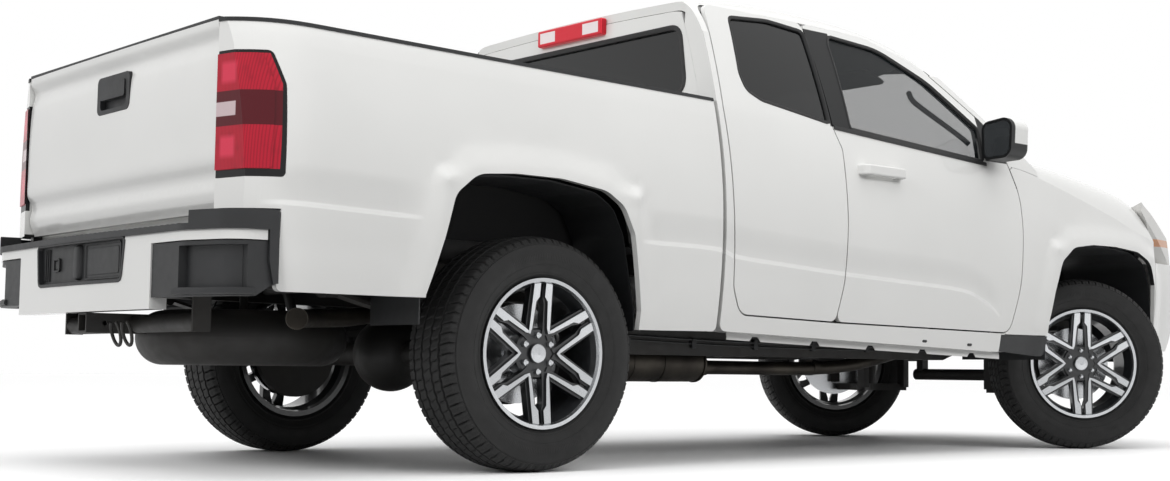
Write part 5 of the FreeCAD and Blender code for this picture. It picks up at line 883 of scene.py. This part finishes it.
# Seats: foam on a frame under woven cloth, the panels joined by deep stitched seams, and a headrest sits on two
# posts. The cloth's diagonal threads are drawn 1.3 mm apart, coarser than real ones. The bases and the dashboard are
# soft-touch plastic.
THREAD_PITCH = 1.31
SEAM_DEPTH = 0.007
SEAM_WIDTH = 0.006
CROSS_SEAM = 0.1
fabric = new_material("seat_weave")
weave = add(fabric, "TexWave", {"Vector": add(fabric, "TexCoord").outputs["Object"],
                                "Scale": WAVE_PERIOD / THREAD_PITCH}, bands_direction="DIAGONAL").outputs["Fac"]
thread = add(fabric, "MapRange", {"Value": weave, "From Min": 0.2, "From Max": 0.8})
surface(fabric, Base_Color=over(fabric, "232426", (thread, "34363a")), Roughness=0.9, Sheen_Weight=0.3,
        Normal=add(fabric, "Bump", {"Height": weave, "Strength": 0.3, "Distance": 0.001}))
soft_touch = new_material("soft_touch_plastic")
surface(soft_touch, Base_Color=drift(soft_touch, 125, "1a1b1c", "242527"), Roughness=0.72,
        Normal=grained(soft_touch, 1.43, 0.6, 0.2, 2.0))


def cushion(size, radius, crown, seams, cells, pull):
    """A soft block: rounded edges, crowned faces, sides that pull in between the corners, and sewn seams."""
    half = np.array(size) / 2
    line = np.linspace(-1, 1, cells + 1)
    points, faces = [], []
    for axis in range(3):
        for hand in (-1, 1):
            first, second = [other for other in range(3) if other != axis]
            grid = np.zeros((cells + 1, cells + 1, 3))
            grid[..., axis] = hand
            grid[..., first] = line[:, None]
            grid[..., second] = line[None, :]
            start = sum(len(block) for block in points)
            points.append(grid.reshape(-1, 3))
            ids = start + np.arange((cells + 1) ** 2).reshape(cells + 1, cells + 1)
            quads = np.stack([ids[:-1, :-1], ids[1:, :-1], ids[1:, 1:], ids[:-1, 1:]], -1).reshape(-1, 4)
            if (hand > 0) == (axis == 1):
                quads = quads[:, ::-1]
            faces.append(quads)
    cube = np.concatenate(points)
    box = cube * half
    core = np.clip(box, -(half - radius), half - radius)
    away = box - core
    length = np.maximum(np.linalg.norm(away, axis=1, keepdims=True), 1e-9)
    soft = np.where(length > 1e-8, core + away / length * np.minimum(length, radius), box)
    swell = crown * (1 - cube[:, 0] ** 2) * (1 - cube[:, 1] ** 2)
    soft[:, 0] *= 1 - pull / half[0] * (1 - cube[:, 1] ** 2)
    soft[:, 1] *= 1 - pull / half[1] * (1 - cube[:, 0] ** 2)
    groove = sum(SEAM_DEPTH * np.exp(-((soft[:, 1] - seam) / SEAM_WIDTH) ** 2) for seam in seams)
    cross = SEAM_DEPTH * np.exp(-((soft[:, 0] - CROSS_SEAM) / SEAM_WIDTH) ** 2)
    groove = groove + cross * (np.abs(soft[:, 1]) < max(seams or [0]))
    soft[:, 2] += np.sign(cube[:, 2]) * (swell - groove) * (np.abs(cube[:, 2]) > 0.999)
    return soft, np.concatenate(faces)


def seat_piece(name, block, place, material):
    """A piece of the seats, made from a block of points and faces."""
    points, quads = block
    mesh = mesh_from(name, points, quads.tolist(), 60)
    mesh.transform(place)
    piece = make_piece(name, mesh, material, "root")
    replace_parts(piece, "seats")
    return piece


upright = Matrix.Rotation(math.radians(90), 4, "Y")
move = Matrix.Translation
for side_name, hand in SIDES:
    seat_y, rear_y = hand * 0.376, hand * 0.38
    lean = move((0.07, seat_y, 0.82)) @ Matrix.Rotation(math.radians(-18), 4, "Y")
    for name, size, radius, crown, seams, place in (
            ("front_cushion_", (0.52, 0.44, 0.112), 0.045, 0.004, (-0.14, 0.14), move((0.33, seat_y, 0.82))),
            ("front_back_", (0.555, 0.44, 0.112), 0.045, 0.004, (-0.14, 0.14),
             lean @ move((0.01, 0, 0.26)) @ upright),
            ("headrest_", (0.165, 0.255, 0.082), 0.038, 0.004, (), lean @ move((0.015, 0, 0.645)) @ upright),
            ("rear_cushion_", (0.265, 0.375, 0.082), 0.035, 0.003, (), move((-0.465, rear_y, 0.745))),
            ("rear_back_", (0.6, 0.375, 0.074), 0.034, 0.003, (), move((-0.601, rear_y, 0.985)) @ upright)):
        block = cushion(size, radius, crown, seams, 40, 0.009)
        seat_piece(name + side_name, block, place, fabric)
    bases = [("seat_base_" + side_name, (0.44, 0.36, 0.15), 0.012, move((0.33, seat_y, 0.681)), soft_touch),
             ("rear_seat_base_" + side_name, (0.09, 0.37, 0.11), 0.012, move((-0.59, rear_y, 0.656)), soft_touch)]
    posts = [("headrest_post_%s_%s" % (side_name, "inner" if post_y * hand < 0 else "outer"), (0.13, 0.013, 0.013),
              0.006, lean @ move((0.015, post_y, 0.54)) @ upright, cast_metal) for post_y in (-0.06, 0.06)]
    for name, size, radius, place, material in bases + posts:
        seat_piece(name, cushion(size, radius, 0.0, (), 6, 0.0), place, material)
paint_nodes(soft_touch, "dashboard", "steering_wheel")

# A grab handle is bolted along each windscreen pillar inside, and two sun visors, padded boards under the
# headliner's woven cloth, lie under the roof's front.
GRIP_PATH = [(0.662, 0.676, 1.536), (0.7, 0.664, 1.51), (0.768, 0.662, 1.482), (0.935, 0.668, 1.418),
             (1.027, 0.674, 1.38), (1.062, 0.69, 1.352)]
visor_cloth = new_material("headliner_cloth")
surface(visor_cloth, Base_Color=drift(visor_cloth, 3.33, "6b6a67", "7b7a77"), Roughness=0.9,
        Normal=grained(visor_cloth, 1.1, 0.6, 0.2))
for side_name, hand in SIDES:
    grip = smooth_path([(x, hand * y, z) for x, y, z in GRIP_PATH], 0.012)
    make_piece("grab_handle_" + side_name, tube("grab_handle", grip, 0.0115, 14), soft_touch, "root")

    def under_roof(x, y, out, hand=hand):
        return Vector((x, hand * y, 1.64 - 0.3 * (x - 0.6) + out))

    visor = moulding("visor", box_outline(0.56, 0.1, 0.7, 0.52, 0.03),
                     [(0.004, -0.012), (0.0, -0.008), (0.0, -0.004), (0.004, 0.0)], under_roof)
    make_piece("sun_visor_" + side_name, visor, visor_cloth, "root")

# Studio: a seamless floor that runs out of sight, a white room, a broad soft light over the cab and gentler ones
# from the camera's side and from behind. Floor and room look white, but send the truck less light than white
# ones would, so that its underside stays dark as in the photograph.
floor_mesh = mesh_from("floor", [(-60, -60, 0), (60, -60, 0), (60, 60, 0), (-60, 60, 0)], [(0, 1, 2, 3)])
floor = bpy.data.objects.new("floor", floor_mesh)
bpy.context.scene.collection.objects.link(floor)


def seen_directly(material):
    """1 for what the camera sees, itself or in gloss and glass; 0 for light on its way to the truck."""
    rays = add(material, "LightPath").outputs
    return either(material, rays["Is Camera Ray"], rays["Is Glossy Ray"], rays["Is Transmission Ray"])


floor_white = new_material("floor_white")
surface(floor_white, Base_Color=over(floor_white, "6e6e6e", (seen_directly(floor_white), "ffffff")), Roughness=0.6)
floor_mesh.materials.append(floor_white)
world = bpy.data.worlds.new("studio")
bpy.context.scene.world = world
world.use_nodes = True
world.node_tree.nodes.clear()
height = add(world, "SeparateXYZ", {"Vector": add(world, "TexCoord").outputs["Generated"]}).outputs[2]
room_light = add(world, "MapRange", {"Value": height, "From Min": 0.05, "From Max": 0.8, "To Min": 0.1,
                                     "To Max": 1.27})
backdrop = add(world, "Background", {"Color": "ffffff",
                                     "Strength": over(world, room_light, (seen_directly(world), 1.0))})
add(world, "OutputWorld", {"Surface": backdrop})


def soft_light(name, place, target, width, height, power):
    """A large lamp that isn't mirrored in the glass and the paint."""
    data = bpy.data.lights.new(name, "AREA")
    data.shape = "RECTANGLE"
    data.size, data.size_y, data.energy = width, height, power
    lamp = bpy.data.objects.new(name, data)
    bpy.context.scene.collection.objects.link(lamp)
    lamp.location = place
    lamp.visible_glossy = False
    lamp.rotation_euler = (Vector(target) - Vector(place)).to_track_quat("-Z", "Y").to_euler()


soft_light("over_cab", (0.0, -1.5, 6.5), (0, 0, 0.8), 7.0, 4.0, 60)
soft_light("side_fill", (0.3, -8.6, 4.3), (0.7, 0, 0.9), 9.0, 2.4, 300)
soft_light("rear_fill", (-9.0, -2.2, 4.6), (-2.0, 0, 0.9), 4.0, 2.4, 270)
bpy.context.scene.view_settings.view_transform = "Standard"
